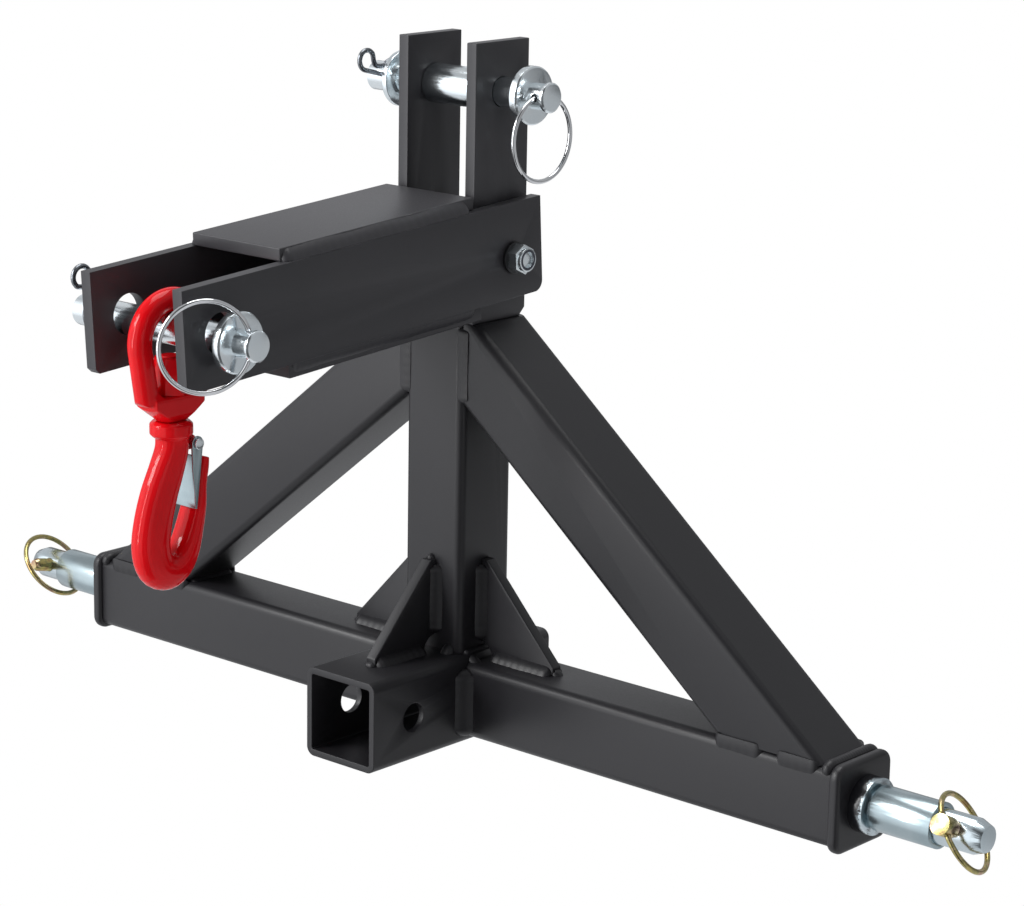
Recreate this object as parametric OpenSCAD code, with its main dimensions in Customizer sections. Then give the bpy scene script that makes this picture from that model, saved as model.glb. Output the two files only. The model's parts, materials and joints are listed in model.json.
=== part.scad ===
// Three point hitch frame with a receiver tube, an A shaped mast, a bolted lifting arm and a swivel hook
// X runs across the frame, the receiver mouth and the arm face -Y, and Z is up
// The origin is on the underside of the receiver tube, below the mast

/* [Receiver tube] */
// Outside width of the square receiver tube
receiver_w = 60; // [56:1:66]
// Wall of the receiver tube
receiver_wall = 4.5; // [3:0.5:6]
// Outside corner radius of the receiver tube
receiver_corner = 6; // [5:0.5:9]
// Reach of the receiver tube ahead of the mast centre
receiver_reach = 110; // [95:1:160]
// Length of the receiver tube behind the mast centre
receiver_stub = 60; // [45:1:90]
// Diameter of the hitch pin hole through both sides
receiver_hole_d = 19; // [14:0.5:22]
// Distance from the receiver mouth to the hitch pin hole
receiver_hole_back = 37; // [25:1:45]

/* [Cross beam] */
// Outside width of the square beam, mast and brace tubes
tube_w = 50; // [46:1:54]
// Wall of the beam, mast and brace tubes
tube_wall = 4; // [2.5:0.5:6]
// Outside corner radius of the beam, mast and brace tubes
tube_corner = 6; // [5:0.5:9]
// Distance between the shoulders of the two lift pins
shoulder_spread = 683; // [600:1:760]
// Width of the square end caps
cap_w = 56; // [55:1:64]
// Thickness of the end caps
cap_t = 8; // [5:0.5:12]
// Corner radius of the end caps
cap_corner = 9; // [4:0.5:14]

/* [Lift pins] */
// Diameter of the lift pins
lift_pin_d = 22.2; // [19:0.1:25]
// Length of a lift pin beyond its shoulder
lift_pin_len = 78; // [72:1:95]
// Length of the lift pin's end taper
lift_taper = 7.5; // [4:0.5:12]
// End diameter of the lift pin's taper
lift_tip_d = 16.5; // [12:0.5:18]
// Diameter of the collar that shoulders the lift pin
lift_collar_d = 35.5; // [31:0.5:42]
// Length of the collar that shoulders the lift pin
lift_collar_len = 10; // [6:0.5:16]
// Outside diameter of the loose sleeve on a lift pin
sleeve_d = 28.6; // [26.5:0.1:32]
// Length of the loose sleeve on a lift pin
sleeve_len = 43.5; // [38:0.5:46]
// Distance of the loose sleeves from their shoulders
sleeve_slide = 2.5; // [0.3:0.1:4]
// Distance from the shoulder to the linch pin
linch_reach = 58; // [54:0.5:61]

/* [Linch pins] */
// Diameter of a linch pin's body
linch_d = 9.5; // [8:0.1:10.5]
// Length of a linch pin's body from its ring pivot to its tip
linch_len = 43; // [38:0.5:44.5]
// Diameter of a linch pin's head across the ring pivot
linch_head_d = 13; // [11:0.5:15]
// Height of a linch pin's head along its body
linch_head_h = 12.5; // [10:0.5:15]
// Outside diameter of a linch pin's ring
linch_ring_d = 53; // [51:0.5:58]
// Wire diameter of a linch pin's ring
linch_wire = 3.5; // [2.5:0.1:4]
// Tilt of the left linch pin, its tip raised
linch_tilt_left = 12; // [0:1:20]
// Tilt of the right linch pin, its head raised
linch_tilt_right = 25; // [0:1:30]
// Lean of the right ring out of the cross plane of its lift pin
ring_lean_right = 36; // [0:1:40]
// Lean of the left ring out of the cross plane of its lift pin
ring_lean_left = 43; // [30:1:46]

/* [Mast and braces] */
// Height of the top of the mast tube
mast_top = 344; // [338:1:350]
// Height of the braces' upper faces at the mast
brace_head = 290; // [284:1:300]
// Gap between a brace's foot and the end cap
brace_foot_gap = 6.5; // [4:0.5:12]
// Thickness of the upright plates
upright_t = 8; // [6:0.5:12]
// Depth of the upright plates, front to back
upright_depth = 50; // [44:1:56]
// Height of the upright plates' lower edges
upright_foot = 281; // [276:1:286]
// Height of the upright plates' top edges
upright_top = 459.5; // [448:0.5:480]
// Chamfer on the lower rear corner of the upright plates
upright_chamfer = 5; // [2:0.5:8]

/* [Gussets] */
// Thickness of the gusset plates
gusset_t = 8; // [5:0.5:12]
// Height of the gussets up the mast, from the origin
gusset_top = 121; // [100:1:150]
// Length of the front gusset along the receiver tube
gusset_front_len = 57; // [45:1:70]
// Length of the side gussets along the beam
gusset_side_len = 63; // [50:1:90]
// Width of the blunt ends of the gussets
gusset_nose = 5; // [3:0.5:8]
// Radius of the corner relief in the gussets
gusset_relief = 10; // [9:0.5:14]

/* [Top link pin and hook pin] */
// Diameter of the top link pin and of the hook pin
pin_d = 19.05; // [16:0.05:22]
// Distance of the top link pin below the uprights' top edges
top_pin_drop = 32; // [26:0.5:40]
// Reach of the pins on the ring side, from the middle of the frame
pin_near = 74.3; // [72:0.1:80]
// Reach of the pins on the clip side, from the middle of the frame
pin_far = 78; // [72:0.5:86]
// Diameter of the pins' fixed collar
pin_collar_d = 37; // [30:0.5:44]
// Thickness of the pins' fixed collar
pin_collar_t = 6.5; // [4:0.5:9]
// Distance of the collar's inner face from the middle of the frame
pin_collar_x = 53.7; // [52:0.1:55]
// Distance of the ring hole from the middle of the frame
pin_ring_x = 66.5; // [65.5:0.1:68.5]
// Distance of the clip hole from the middle of the frame
pin_clip_x = 62; // [59:0.5:66]
// Outside diameter of the sleeve on the top link pin
top_sleeve_d = 25.4; // [23:0.1:30]
// Diameter of the washers on the top link pin
washer_d = 36; // [28:0.5:44]
// Thickness of the washer against the upright
washer_inner_t = 5; // [3:0.5:8]
// Thickness of the washer beside the clip
washer_outer_t = 4; // [3:0.5:6]
// Distance of the outer washer's middle from the middle of the frame
washer_outer_x = 53; // [46:0.5:54]
// Outside diameter of the pins' pull rings
ring_d = 57; // [52:0.5:64]
// Wire diameter of the pull rings
ring_wire = 3; // [2:0.1:4]
// Wire diameter of the pins' clips
clip_wire = 3.2; // [2:0.1:4]
// Outside diameter of the clips' loop
clip_loop_d = 16; // [14:0.5:20]
// Length of the clips' legs beyond the pin
clip_leg = 12; // [8:0.5:16]
// Slope of the clip in the top link pin, its loop raised
clip_tilt_top = 14; // [0:1:25]
// Lean of the clip in the hook pin from the vertical
clip_tilt_hook = 17; // [0:1:25]
// Swing of the hook pin's ring from the front towards the arm
hook_ring_swing = 30; // [0:1:32]

/* [Lifting arm] */
// Distance of the arm bolt behind the mast centre
pivot_y = 1.5; // [-2:0.5:4]
// Height of the arm bolt
pivot_z = 322.7; // [318:0.5:328]
// Droop of the arm's free end at rest
droop = 3.7; // [3:0.1:5]
// Length of the arm from the bolt to its free end
arm_reach = 284.5; // [270:0.5:320]
// Length of the arm behind the bolt
arm_tail = 27.5; // [24:0.5:34]
// Height of the side plates above the bolt
arm_rise = 35.5; // [33:0.5:42]
// Depth of the side plates below the bolt
arm_drop = 26.5; // [24:0.5:28]
// Thickness of the side plates
arm_side_t = 8; // [6:0.5:10]
// Gap between an upright plate and a side plate
arm_side_gap = 2.2; // [0.5:0.1:3]
// Length of the boxed stretch of the arm, from the bolt
arm_box_len = 200; // [180:1:205]
// Width of the ledges beside the arm's top plate
arm_ledge = 5.7; // [3:0.1:8]
// Thickness of the arm's top plate
arm_top_t = 8; // [5:0.5:10]
// Gap between the top plate and the uprights
arm_top_gap = 6; // [4:0.5:12]
// Width of the ledges beside the arm's bottom plate
arm_lip = 2.2; // [1:0.1:5]
// Thickness of the arm's bottom plate
arm_bottom_t = 9; // [5:0.5:10]
// Gap between the bottom plate and the mast it stops against
arm_stop_gap = 0.3; // [0.2:0.1:1]
// Radius of the side plates' lower rear corner
arm_corner = 7; // [3:0.5:12]
// Chamfer of the side plates' lower front corner
arm_nose_chamfer = 3; // [1:0.5:6]
// Diameter of the hook pin's holes
hook_hole_d = 25.4; // [23:0.1:28]
// Distance of the hook pin's holes from the free end
hook_hole_back = 29; // [25:0.5:40]
// Height of the hook pin's holes above the bolt's line
hook_hole_rise = 4.5; // [0:0.5:8]
// Diameter of the arm bolt
bolt_d = 10; // [8:0.5:14]

/* [Hook] */
// Bar diameter of the swivel eye
eye_bar = 14.6; // [13:0.1:16]
// Inside radius of the swivel eye's arch
eye_inner = 17; // [16:0.1:19]
// Lean of the eye's sides towards the boss
eye_lean = 9.5; // [5:0.5:10]
// Inside height of the swivel eye
eye_height = 49; // [46:0.5:56]
// Height of the boss below the swivel eye
boss_h = 16; // [12:0.5:20]
// Diameter of the boss at its lower end
boss_foot_d = 20; // [18:0.5:24]
// Thickness of the boss
boss_t = 18; // [16:0.5:22]
// Diameter of the hook's shank in the boss
shank_d = 12; // [10:0.5:13]
// Diameter of the hook's swivel collar
hook_collar_d = 26; // [24:0.5:30]
// Thickness of the hook's swivel collar
hook_collar_t = 10; // [6:0.5:12]
// Width across the flats of the swivel nut
swivel_nut_af = 19; // [17:0.5:19.5]
// Height of the swivel nut
swivel_nut_h = 22; // [16:0.5:23]
// Half the width of the hook's body, left to right
hook_half = 9.5; // [7:0.5:11]
// Width of the latch
latch_w = 18; // [16:0.5:20]
// Thickness of the latch's sheet
latch_t = 1.5; // [1:0.1:2]
// Diameter of the latch's rivet
rivet_d = 4; // [3:0.1:5]
// Wire diameter of the latch's spring
spring_wire = 1.2; // [0.8:0.1:1.4]

/* [Clearances] */
// Radial clearance of a shaft that turns in a hole
fit = 0.06; // [0.02:0.01:0.1]
// Gap between loose pieces
gap = 0.3; // [0.2:0.05:0.4]
// Leg of the weld beads
bead = 5; // [3:0.5:6]

/* [Hidden] */
$fn = 64;

black_coat = [0.10, 0.10, 0.11];
zinc = [0.78, 0.80, 0.83];
yellow_zinc = [0.80, 0.66, 0.30];
red_enamel = [0.78, 0.05, 0.06];
dark_steel = [0.25, 0.26, 0.28];

// Heights and half widths shared by the frame
beam_z = receiver_w / 2;
beam_top = beam_z + tube_w / 2;
beam_bottom = beam_z - tube_w / 2;
shoulder_x = shoulder_spread / 2;
cap_outer = shoulder_x - lift_collar_len;
cap_inner = cap_outer - cap_t;
mast_x = tube_w / 2;
mast_front = tube_w / 2;
upright_out = mast_x + upright_t;
side_in = upright_out + arm_side_gap;
side_out = side_in + arm_side_t;
top_pin_z = upright_top - top_pin_drop;
arm_top_w = 2 * (side_out - arm_ledge);
arm_bottom_w = 2 * (side_out - arm_lip);

// Braces: slope from the foot beside the cap to the head at the mast
brace_run = cap_inner - brace_foot_gap - mast_x;
brace_fall = brace_head - beam_top;
brace_angle = atan(brace_fall / brace_run);
brace_len = norm([brace_run, brace_fall]);

// Clearance holes and the boss of each loose piece
bolt_hole_d = bolt_d + 2 * fit;
pin_hole_d = pin_d + 2 * fit;
lift_sleeve_bore = lift_pin_d + 2 * fit;
linch_x = shoulder_x + linch_reach;
linch_head_at = lift_pin_d / 2 + gap + linch_head_h / 2;
linch_hole_d = linch_d + 2 * gap;
linch_ring_r = (linch_ring_d - linch_wire) / 2;
linch_pivot_d = linch_wire + 2 * gap;

// Pull rings: the wire bows inside its hole by the sag of its own circle
ring_r = (ring_d - ring_wire) / 2;
ring_sag = ring_r - sqrt(pow(ring_r, 2) - pow(pin_d / 2, 2));
ring_hole_d = ring_wire + ring_sag + 2 * gap;
ring_hang = ring_r - ring_sag / 2;
clip_hole_d = clip_wire + 2 * gap;

// Arm bolt: hexagon head on the left, thread end inside the lock nut on the right
bolt_af = 1.7 * bolt_d;
bolt_head_h = 0.64 * bolt_d;
nut_h = bolt_d;
bolt_washer_t = 2.5;

// Arm frame: the bolt at its origin, its free end towards -Y
top_rear = (upright_depth / 2 + arm_top_gap + pivot_y - (arm_rise + arm_top_t) * sin(droop)) / cos(droop);
bottom_rear = (mast_front + arm_stop_gap + pivot_y + (arm_drop + arm_bottom_t) * sin(droop)) / cos(droop);
hook_hole_y = hook_hole_back - arm_reach;

// Hook pin: it lies on the lower side of its holes
hole_drop = (hook_hole_d - pin_d) / 2 - fit;
hook_y = pivot_y + hook_hole_y * cos(droop) - hook_hole_rise * sin(droop);
hook_z = pivot_z + hook_hole_y * sin(droop) + hook_hole_rise * cos(droop) - hole_drop;

// Swivel eye and hook, measured from the middle of the hook pin
eye_top = pin_d / 2 + gap;
eye_arc_z = eye_top - eye_inner;
eye_floor = eye_top - eye_height;
boss_foot = eye_floor - boss_h;
eye_mid = eye_inner + eye_bar / 2;
eye_outer = eye_inner + eye_bar;
collar_top = boss_foot - gap;
collar_foot = collar_top - hook_collar_t;
nut_foot = eye_floor + gap;
shank_hole_d = shank_d + 2 * fit;

// Latch: it hangs from a rivet in a lug ahead of the shank and rests inside the tip
latch_y = 13;
latch_z = collar_foot - 5;
latch_len = 40;
lug_r = 4.6;
lug_half = 3;
ear_r = 4.4;

// Hook body below the collar: distance from the shank's axis, height below the collar, half
// thickness in the hook's plane and half width across it, from the shank round to the tip
hook_path = [
    [0, 0, 9.5, 1], [-0.5, -8, 9.7, 1], [-5, -20, 10.6, 1], [-11, -34, 11.6, 1],
    [-15.8, -50, 12.1, 1], [-17.6, -65, 12.2, 1.02], [-13.8, -77.5, 11.8, 1.05],
    [-5, -82, 11.2, 1.07], [4, -78.5, 9.8, 1.07], [10.2, -70, 8.2, 1.05], [14.4, -58.5, 6.7, 1],
    [18.3, -45, 5.6, 0.9], [21.5, -32, 4.6, 0.6], [24.6, -22.4, 4, 0.46], [26.4, -16.6, 3, 0.34]];
path_steps = 4;
ring_sides = 24;

// Catmull curve through four values
function curve(a, b, c, d, t) = 0.5 * (2 * b + (c - a) * t + (2 * a - 5 * b + 4 * c - d) * t * t
    + (3 * b - 3 * c + d - a) * t * t * t);
function at(list, i) = list[max(0, min(len(list) - 1, i))];
function smooth(list, steps) = concat(
    [for (i = [0:len(list) - 2]) for (k = [0:steps - 1])
        curve(at(list, i - 1), list[i], list[i + 1], at(list, i + 2), k / steps)],
    [list[len(list) - 1]]);

// Heading of a plane path at one of its points
function heading(p, i) = let (a = at(p, i - 1), b = at(p, i + 1)) atan2(b[1] - a[1], b[0] - a[0]);

// Faces that close a stack of rings
function skin(rings, sides) = concat(
    [[for (j = [sides - 1:-1:0]) j]],
    [for (i = [0:rings - 2]) for (j = [0:sides - 1])
        [i * sides + j, i * sides + (j + 1) % sides, (i + 1) * sides + (j + 1) % sides, (i + 1) * sides + j]],
    [[for (j = [0:sides - 1]) (rings - 1) * sides + j]]);

// Round bar swept along a path that lies in the YZ plane
module plane_wire(path, r, sides = 8) {
    points = [for (i = [0:len(path) - 1]) let (h = heading(path, i)) for (j = [0:sides - 1])
        let (a = 360 * j / sides)
        [r * cos(a), path[i][0] - r * sin(a) * sin(h), path[i][1] + r * sin(a) * cos(h)]];
    polyhedron(points = points, faces = skin(len(path), sides), convexity = 6);
}

// Square section with round corners
module round_square(w, r) {
    union() {
        square([w, w - 2 * r], center = true);
        square([w - 2 * r, w], center = true);
        for (x = [-1, 1]) for (y = [-1, 1])
            translate([x * (w / 2 - r), y * (w / 2 - r)]) circle(r);
    }
}

// Square tube along Z from the origin
module square_tube(w, wall, r, h) {
    linear_extrude(h) difference() {
        round_square(w, r);
        round_square(w - 2 * wall, max(r - wall, 0.5));
    }
}

// Rod along X, centred
module rod_x(d, h) {
    rotate([0, 90, 0]) cylinder(d = d, h = h, center = true);
}

// Outline in the YZ plane given thickness along X, centred
module plate_x(t) {
    rotate([90, 0, 90]) translate([0, 0, -t / 2]) linear_extrude(t) children();
}

// Outline in the XZ plane given thickness along Y, centred
module plate_y(t) {
    rotate([90, 0, 0]) translate([0, 0, -t / 2]) linear_extrude(t) children();
}

// Weld bead along Z in the corner of the +X and +Y faces
module bead_z(h, leg = bead, leg_y = bead) {
    linear_extrude(h) polygon([[0, 0], [leg, 0], [leg * 0.62, leg_y * 0.62], [0, leg_y]]);
}

module receiver_tube() {
    color(black_coat) difference() {
        translate([0, receiver_stub, beam_z]) rotate([90, 0, 0])
            square_tube(receiver_w, receiver_wall, receiver_corner, receiver_reach + receiver_stub);
        translate([0, receiver_hole_back - receiver_reach, beam_z])
            rod_x(receiver_hole_d, receiver_w + 2);
    }
}

module beam(side) {
    color(black_coat) translate([side * receiver_w / 2, 0, beam_z]) rotate([0, side * 90, 0])
        square_tube(tube_w, tube_wall, tube_corner, cap_inner - receiver_w / 2);
}

module end_cap(side) {
    color(black_coat) translate([side * (cap_inner + cap_t / 2), 0, beam_z]) rotate([0, 90, 0])
        translate([0, 0, -cap_t / 2]) linear_extrude(cap_t) round_square(cap_w, cap_corner);
}

module mast_tube() {
    color(black_coat) difference() {
        translate([0, 0, receiver_w]) square_tube(tube_w, tube_wall, tube_corner, mast_top - receiver_w);
        translate([0, pivot_y, pivot_z]) rod_x(bolt_hole_d, tube_w + 2);
    }
}

module brace(side) {
    color(black_coat) mirror([side < 0 ? 1 : 0, 0, 0]) intersection() {
        translate([mast_x, 0, brace_head]) rotate([0, 90 + brace_angle, 0])
            translate([tube_w / 2, 0, -tube_w * 2])
                square_tube(tube_w, tube_wall, tube_corner, brace_len + tube_w * 4);
        translate([mast_x, -tube_w, beam_top])
            cube([cap_inner - mast_x, 2 * tube_w, upright_foot - beam_top]);
    }
}

// Gusset outline: leg along the first axis, height along the second, relief in the corner
module gusset_outline(leg, height, relief_up = 0) {
    difference() {
        polygon([[0, 0], [leg, 0], [leg, gusset_nose], [gusset_nose, height], [0, height]]);
        translate([0, relief_up]) circle(gusset_relief);
    }
}

module gusset_front() {
    color(black_coat) translate([0, -mast_front, receiver_w]) mirror([0, 1, 0])
        plate_x(gusset_t) gusset_outline(gusset_front_len, gusset_top - receiver_w);
}

module gusset_side(side) {
    color(black_coat) mirror([side < 0 ? 1 : 0, 0, 0]) translate([mast_x, 0, beam_top])
        plate_y(gusset_t) gusset_outline(gusset_side_len, gusset_top - beam_top);
}

module upright(side) {
    back = upright_depth / 2;
    color(black_coat) difference() {
        translate([side * (mast_x + upright_t / 2), 0, 0]) plate_x(upright_t)
            polygon([[-back, upright_foot], [back - upright_chamfer, upright_foot],
                [back, upright_foot + upright_chamfer], [back, upright_top], [-back, upright_top]]);
        translate([0, 0, top_pin_z]) rod_x(pin_hole_d, 2 * upright_out + 2);
        translate([0, pivot_y, pivot_z]) rod_x(bolt_hole_d, 2 * upright_out + 2);
    }
}

// Weld beads: brace feet and heads, gussets, mast foot and beam ends
module frame_welds() {
    flat = tube_w - 2 * tube_corner;
    gusset_seam = gusset_front_len - gusset_relief - gusset_nose;
    side_seam = gusset_side_len - gusset_relief - gusset_nose - bead;
    color(black_coat) {
        for (x = [-1, 1]) mirror([x < 0 ? 1 : 0, 0, 0]) {
            // Between the brace's foot and the cap
            translate([cap_inner, flat / 2, beam_top]) rotate([90, 0, 0]) mirror([1, 0, 0])
                bead_z(flat, brace_foot_gap - gap, brace_foot_gap - gap);
            // Below the brace's foot, in the wedge under it
            translate([cap_inner - brace_foot_gap - tube_w / sin(brace_angle), flat / 2, beam_top])
                rotate([90, 0, 0]) mirror([1, 0, 0]) linear_extrude(flat)
                    polygon([[0, 0], [2 * bead, 0], [2 * bead * cos(brace_angle), 2 * bead * sin(brace_angle)]]);
            // Both faces of the side gusset, along the beam and up the mast
            for (y = [-1, 1]) mirror([0, y < 0 ? 1 : 0, 0]) {
                translate([mast_x + gusset_relief + bead, gusset_t / 2, beam_top])
                    rotate([90, 0, 90]) bead_z(side_seam);
                translate([mast_x, gusset_t / 2, beam_top + gusset_relief + bead])
                    bead_z(gusset_top - beam_top - gusset_relief - 2 * bead);
            }
            // Both faces of the front gusset, along the receiver and up the mast
            translate([gusset_t / 2, -mast_front - gusset_relief, receiver_w]) rotate([90, 0, 0])
                bead_z(gusset_seam);
            translate([gusset_t / 2, -mast_front, receiver_w + gusset_relief + bead]) mirror([0, 1, 0])
                bead_z(gusset_top - receiver_w - gusset_relief - 2 * bead);
            // Mast's front and rear edges on the receiver
            for (y = [-1, 1]) mirror([0, y < 0 ? 1 : 0, 0])
                translate([gusset_t / 2 + bead + 1, mast_front, receiver_w]) rotate([90, 0, 90])
                    bead_z(flat / 2 - gusset_t / 2 - bead - 1);
            // Receiver's side and the beam's top face
            translate([receiver_w / 2, flat / 2, beam_top]) rotate([90, 0, 0])
                bead_z(flat / 2 - gusset_t / 2 - bead, bead, receiver_w - receiver_corner - beam_top + 4);
        }
    }
}

module lift_pin(side, tilt) {
    color(zinc) difference() {
        translate([side * cap_outer, 0, beam_z]) rotate([0, side * 90, 0]) union() {
            cylinder(d = lift_collar_d, h = lift_collar_len);
            translate([0, 0, lift_collar_len]) cylinder(d = lift_pin_d, h = lift_pin_len - lift_taper);
            translate([0, 0, lift_collar_len + lift_pin_len - lift_taper])
                cylinder(d1 = lift_pin_d, d2 = lift_tip_d, h = lift_taper);
        }
        translate([side * linch_x, 0, beam_z]) rotate([90 + tilt, 0, 0])
            cylinder(d = linch_hole_d, h = 2 * lift_pin_d, center = true);
    }
}

module lift_sleeve(side) {
    color(zinc) translate([side * (shoulder_x + sleeve_slide + sleeve_len / 2), 0, beam_z]) difference() {
        rod_x(sleeve_d, sleeve_len);
        rod_x(lift_sleeve_bore, sleeve_len + 2);
    }
}

// Places a linch pin: its body along +Z from the ring pivot, through the lift pin
module linch_place(side, head, tilt) {
    translate([side * linch_x, 0, beam_z]) rotate([-head * 90 + tilt, 0, 0])
        translate([0, 0, -linch_head_at]) children();
}

module linch_pin(side, head, tilt, lean) {
    tip = linch_d * 0.3;
    color(yellow_zinc) linch_place(side, head, tilt) rotate([0, 0, -head * lean]) difference() {
        union() {
            translate([0, 0, -linch_head_h / 2]) cylinder(d = linch_head_d, h = linch_head_h);
            cylinder(d = linch_d, h = linch_len - tip);
            translate([0, 0, linch_len - tip]) cylinder(d1 = linch_d, d2 = linch_d - tip, h = tip);
        }
        rotate([90, 0, 0]) cylinder(d = linch_pivot_d, h = 2 * linch_head_d, center = true);
    }
}

// Open ring whose ends turn in the head, its plane through the body's axis
module linch_ring(side, head, tilt, lean) {
    bite = linch_head_d / 2 - 1.5;
    shut = asin((linch_head_d / 2 + linch_wire * 0.4) / linch_ring_r);
    arc = [for (i = [0:44]) let (a = shut + (360 - 2 * shut) * i / 44)
        [linch_ring_r * sin(a), linch_ring_r * (cos(shut) - cos(a))]];
    color(yellow_zinc) linch_place(side, head, tilt) rotate([0, 0, -head * lean])
        plane_wire(concat([[bite, 0]], arc, [[-bite, 0]]), linch_wire / 2, 12);
}

// Turned pin with a fixed collar, a neck behind the end disc and two cross holes
module cross_pin(ring_axis, clip_axis) {
    neck = 1.2;
    end_disc = 4;
    color(zinc) difference() {
        rotate([0, 90, 0]) rotate_extrude() polygon([
            [0, -pin_far], [pin_d / 2 - 2, -pin_far], [pin_d / 2, -pin_far + 2], [pin_d / 2, pin_collar_x],
            [pin_collar_d / 2 - 1, pin_collar_x], [pin_collar_d / 2, pin_collar_x + 1],
            [pin_collar_d / 2, pin_collar_x + pin_collar_t - 1],
            [pin_collar_d / 2 - 1, pin_collar_x + pin_collar_t],
            [pin_d / 2 - neck, pin_collar_x + pin_collar_t], [pin_d / 2 - neck, pin_near - end_disc],
            [pin_d / 2, pin_near - end_disc + neck], [pin_d / 2, pin_near - 1], [pin_d / 2 - 1, pin_near],
            [0, pin_near]]);
        translate([pin_ring_x, 0, 0]) rotate([ring_axis, 0, 0])
            cylinder(d = ring_hole_d, h = 2 * pin_d, center = true);
        translate([-pin_clip_x, 0, 0]) rotate([clip_axis, 0, 0])
            cylinder(d = clip_hole_d, h = 2 * pin_d, center = true);
    }
}

// Pull ring that hangs from a cross hole along Y, swung by a turn about that hole
module pull_ring() {
    color(zinc) translate([0, 0, -ring_hang]) rotate([0, 90, 0])
        rotate_extrude() translate([ring_r, 0]) circle(d = ring_wire);
}

// Clip in the YZ plane: a straight leg along +Y through the hole, a loop, and a leg over the pin
module pin_clip() {
    loop_r = (clip_loop_d - clip_wire) / 2;
    over = pin_d / 2 + clip_wire / 2 + gap;
    loop_y = -over - loop_r - clip_leg * 0.75;
    leg = over + clip_leg + 1;
    straight = [for (i = [0:8]) [leg + (loop_y - leg) * i / 8, 0]];
    turn = [for (a = [15:15:225]) [loop_y - loop_r * sin(a), loop_r - loop_r * cos(a)]];
    hug = [for (a = [150:-15:30]) [over * cos(a), over * sin(a)]];
    tail = [[over * 0.98, clip_wire + 2.2], [over + 0.3 * clip_leg, clip_wire + 1.6],
        [over + 0.67 * clip_leg, clip_wire + 3.6], [over + clip_leg, clip_wire + 7]];
    path = concat(straight, turn, [[loop_y + loop_r + 2.2, loop_r - 1.6]], hug, tail);
    color(dark_steel) plane_wire(smooth(path, 1), clip_wire / 2);
}

module top_link_pin() {
    translate([0, 0, top_pin_z]) cross_pin(90, 90 - clip_tilt_top);
}

module top_link_sleeve() {
    color(zinc) translate([0, 0, top_pin_z]) difference() {
        rod_x(top_sleeve_d, tube_w - 2 * gap);
        rod_x(pin_hole_d, tube_w + 2);
    }
}

module washer(x, t, d, bore) {
    translate([x, 0, 0]) difference() {
        rod_x(d, t);
        rod_x(bore, t + 2);
    }
}

module top_washer_inner() {
    color(zinc) translate([0, 0, top_pin_z])
        washer(-upright_out - gap - washer_inner_t / 2, washer_inner_t, washer_d, pin_hole_d);
}

module top_washer_outer() {
    color(zinc) translate([0, 0, top_pin_z])
        washer(-washer_outer_x, washer_outer_t, washer_d, pin_hole_d);
}

module top_pin_ring() {
    translate([pin_ring_x, 0, top_pin_z]) pull_ring();
}

module top_pin_clip() {
    translate([-pin_clip_x, 0, top_pin_z]) rotate([-clip_tilt_top, 0, 0]) pin_clip();
}

// Places a piece of the arm: its bolt at the origin and its free end towards -Y
module arm_place() {
    translate([0, pivot_y, pivot_z]) rotate([droop, 0, 0]) children();
}

module arm_side(side) {
    color(black_coat) arm_place() difference() {
        translate([side * (side_in + side_out) / 2, 0, 0]) plate_x(arm_side_t) union() {
            polygon([[-arm_reach + arm_nose_chamfer, -arm_drop], [arm_tail - arm_corner, -arm_drop],
                [arm_tail - arm_corner, -arm_drop + arm_corner], [arm_tail, -arm_drop + arm_corner],
                [arm_tail, arm_rise], [-arm_reach, arm_rise], [-arm_reach, -arm_drop + arm_nose_chamfer]]);
            translate([arm_tail - arm_corner, -arm_drop + arm_corner]) circle(arm_corner);
        }
        rod_x(bolt_hole_d, 2 * side_out + 2);
        translate([0, hook_hole_y, hook_hole_rise]) rod_x(hook_hole_d, 2 * side_out + 2);
    }
}

module arm_top_plate() {
    color(black_coat) arm_place() translate([-arm_top_w / 2, -arm_box_len, arm_rise])
        cube([arm_top_w, arm_box_len - top_rear, arm_top_t]);
}

module arm_bottom_plate() {
    color(black_coat) arm_place() translate([-arm_bottom_w / 2, -arm_box_len, -arm_drop - arm_bottom_t])
        cube([arm_bottom_w, arm_box_len - bottom_rear, arm_bottom_t]);
}

// Weld beads along the ledges beside the top plate and the bottom plate
module arm_welds() {
    color(black_coat) arm_place() for (x = [-1, 1]) mirror([x < 0 ? 1 : 0, 0, 0]) {
        translate([arm_top_w / 2, -top_rear - bead, arm_rise]) rotate([90, 0, 0])
            bead_z(arm_box_len - top_rear - 2 * bead, arm_ledge, arm_top_t);
        translate([arm_bottom_w / 2, -bottom_rear - bead, -arm_drop]) rotate([90, 0, 0])
            mirror([0, 1, 0]) bead_z(arm_box_len - bottom_rear - 2 * bead, arm_lip, arm_bottom_t * 0.6);
    }
}

module hex_x(af, h) {
    rotate([0, 90, 0]) cylinder(d = af / cos(30), h = h, $fn = 6);
}

module arm_bolt() {
    reach = side_out + bolt_washer_t + nut_h - 1.4;
    color(dark_steel) arm_place() union() {
        translate([-side_out - bolt_head_h, 0, 0]) hex_x(bolt_af, bolt_head_h);
        translate([-side_out, 0, 0]) rotate([0, 90, 0]) cylinder(d = bolt_d, h = side_out + reach);
    }
}

module arm_bolt_nut() {
    color(zinc) arm_place() translate([side_out + bolt_washer_t, 0, 0]) difference() {
        union() {
            hex_x(bolt_af, nut_h * 0.74);
            translate([nut_h * 0.37 + nut_h / 2, 0, 0]) rod_x(bolt_af * 0.9, nut_h * 0.26);
        }
        rod_x(bolt_hole_d, 3 * nut_h);
    }
}

module arm_bolt_washer() {
    color(dark_steel) arm_place()
        washer(side_out + bolt_washer_t / 2, bolt_washer_t, 2.05 * bolt_d, bolt_hole_d);
}

// Places a piece that hangs from the hook pin's centre
module hook_place() {
    translate([0, hook_y, hook_z]) children();
}

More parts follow.
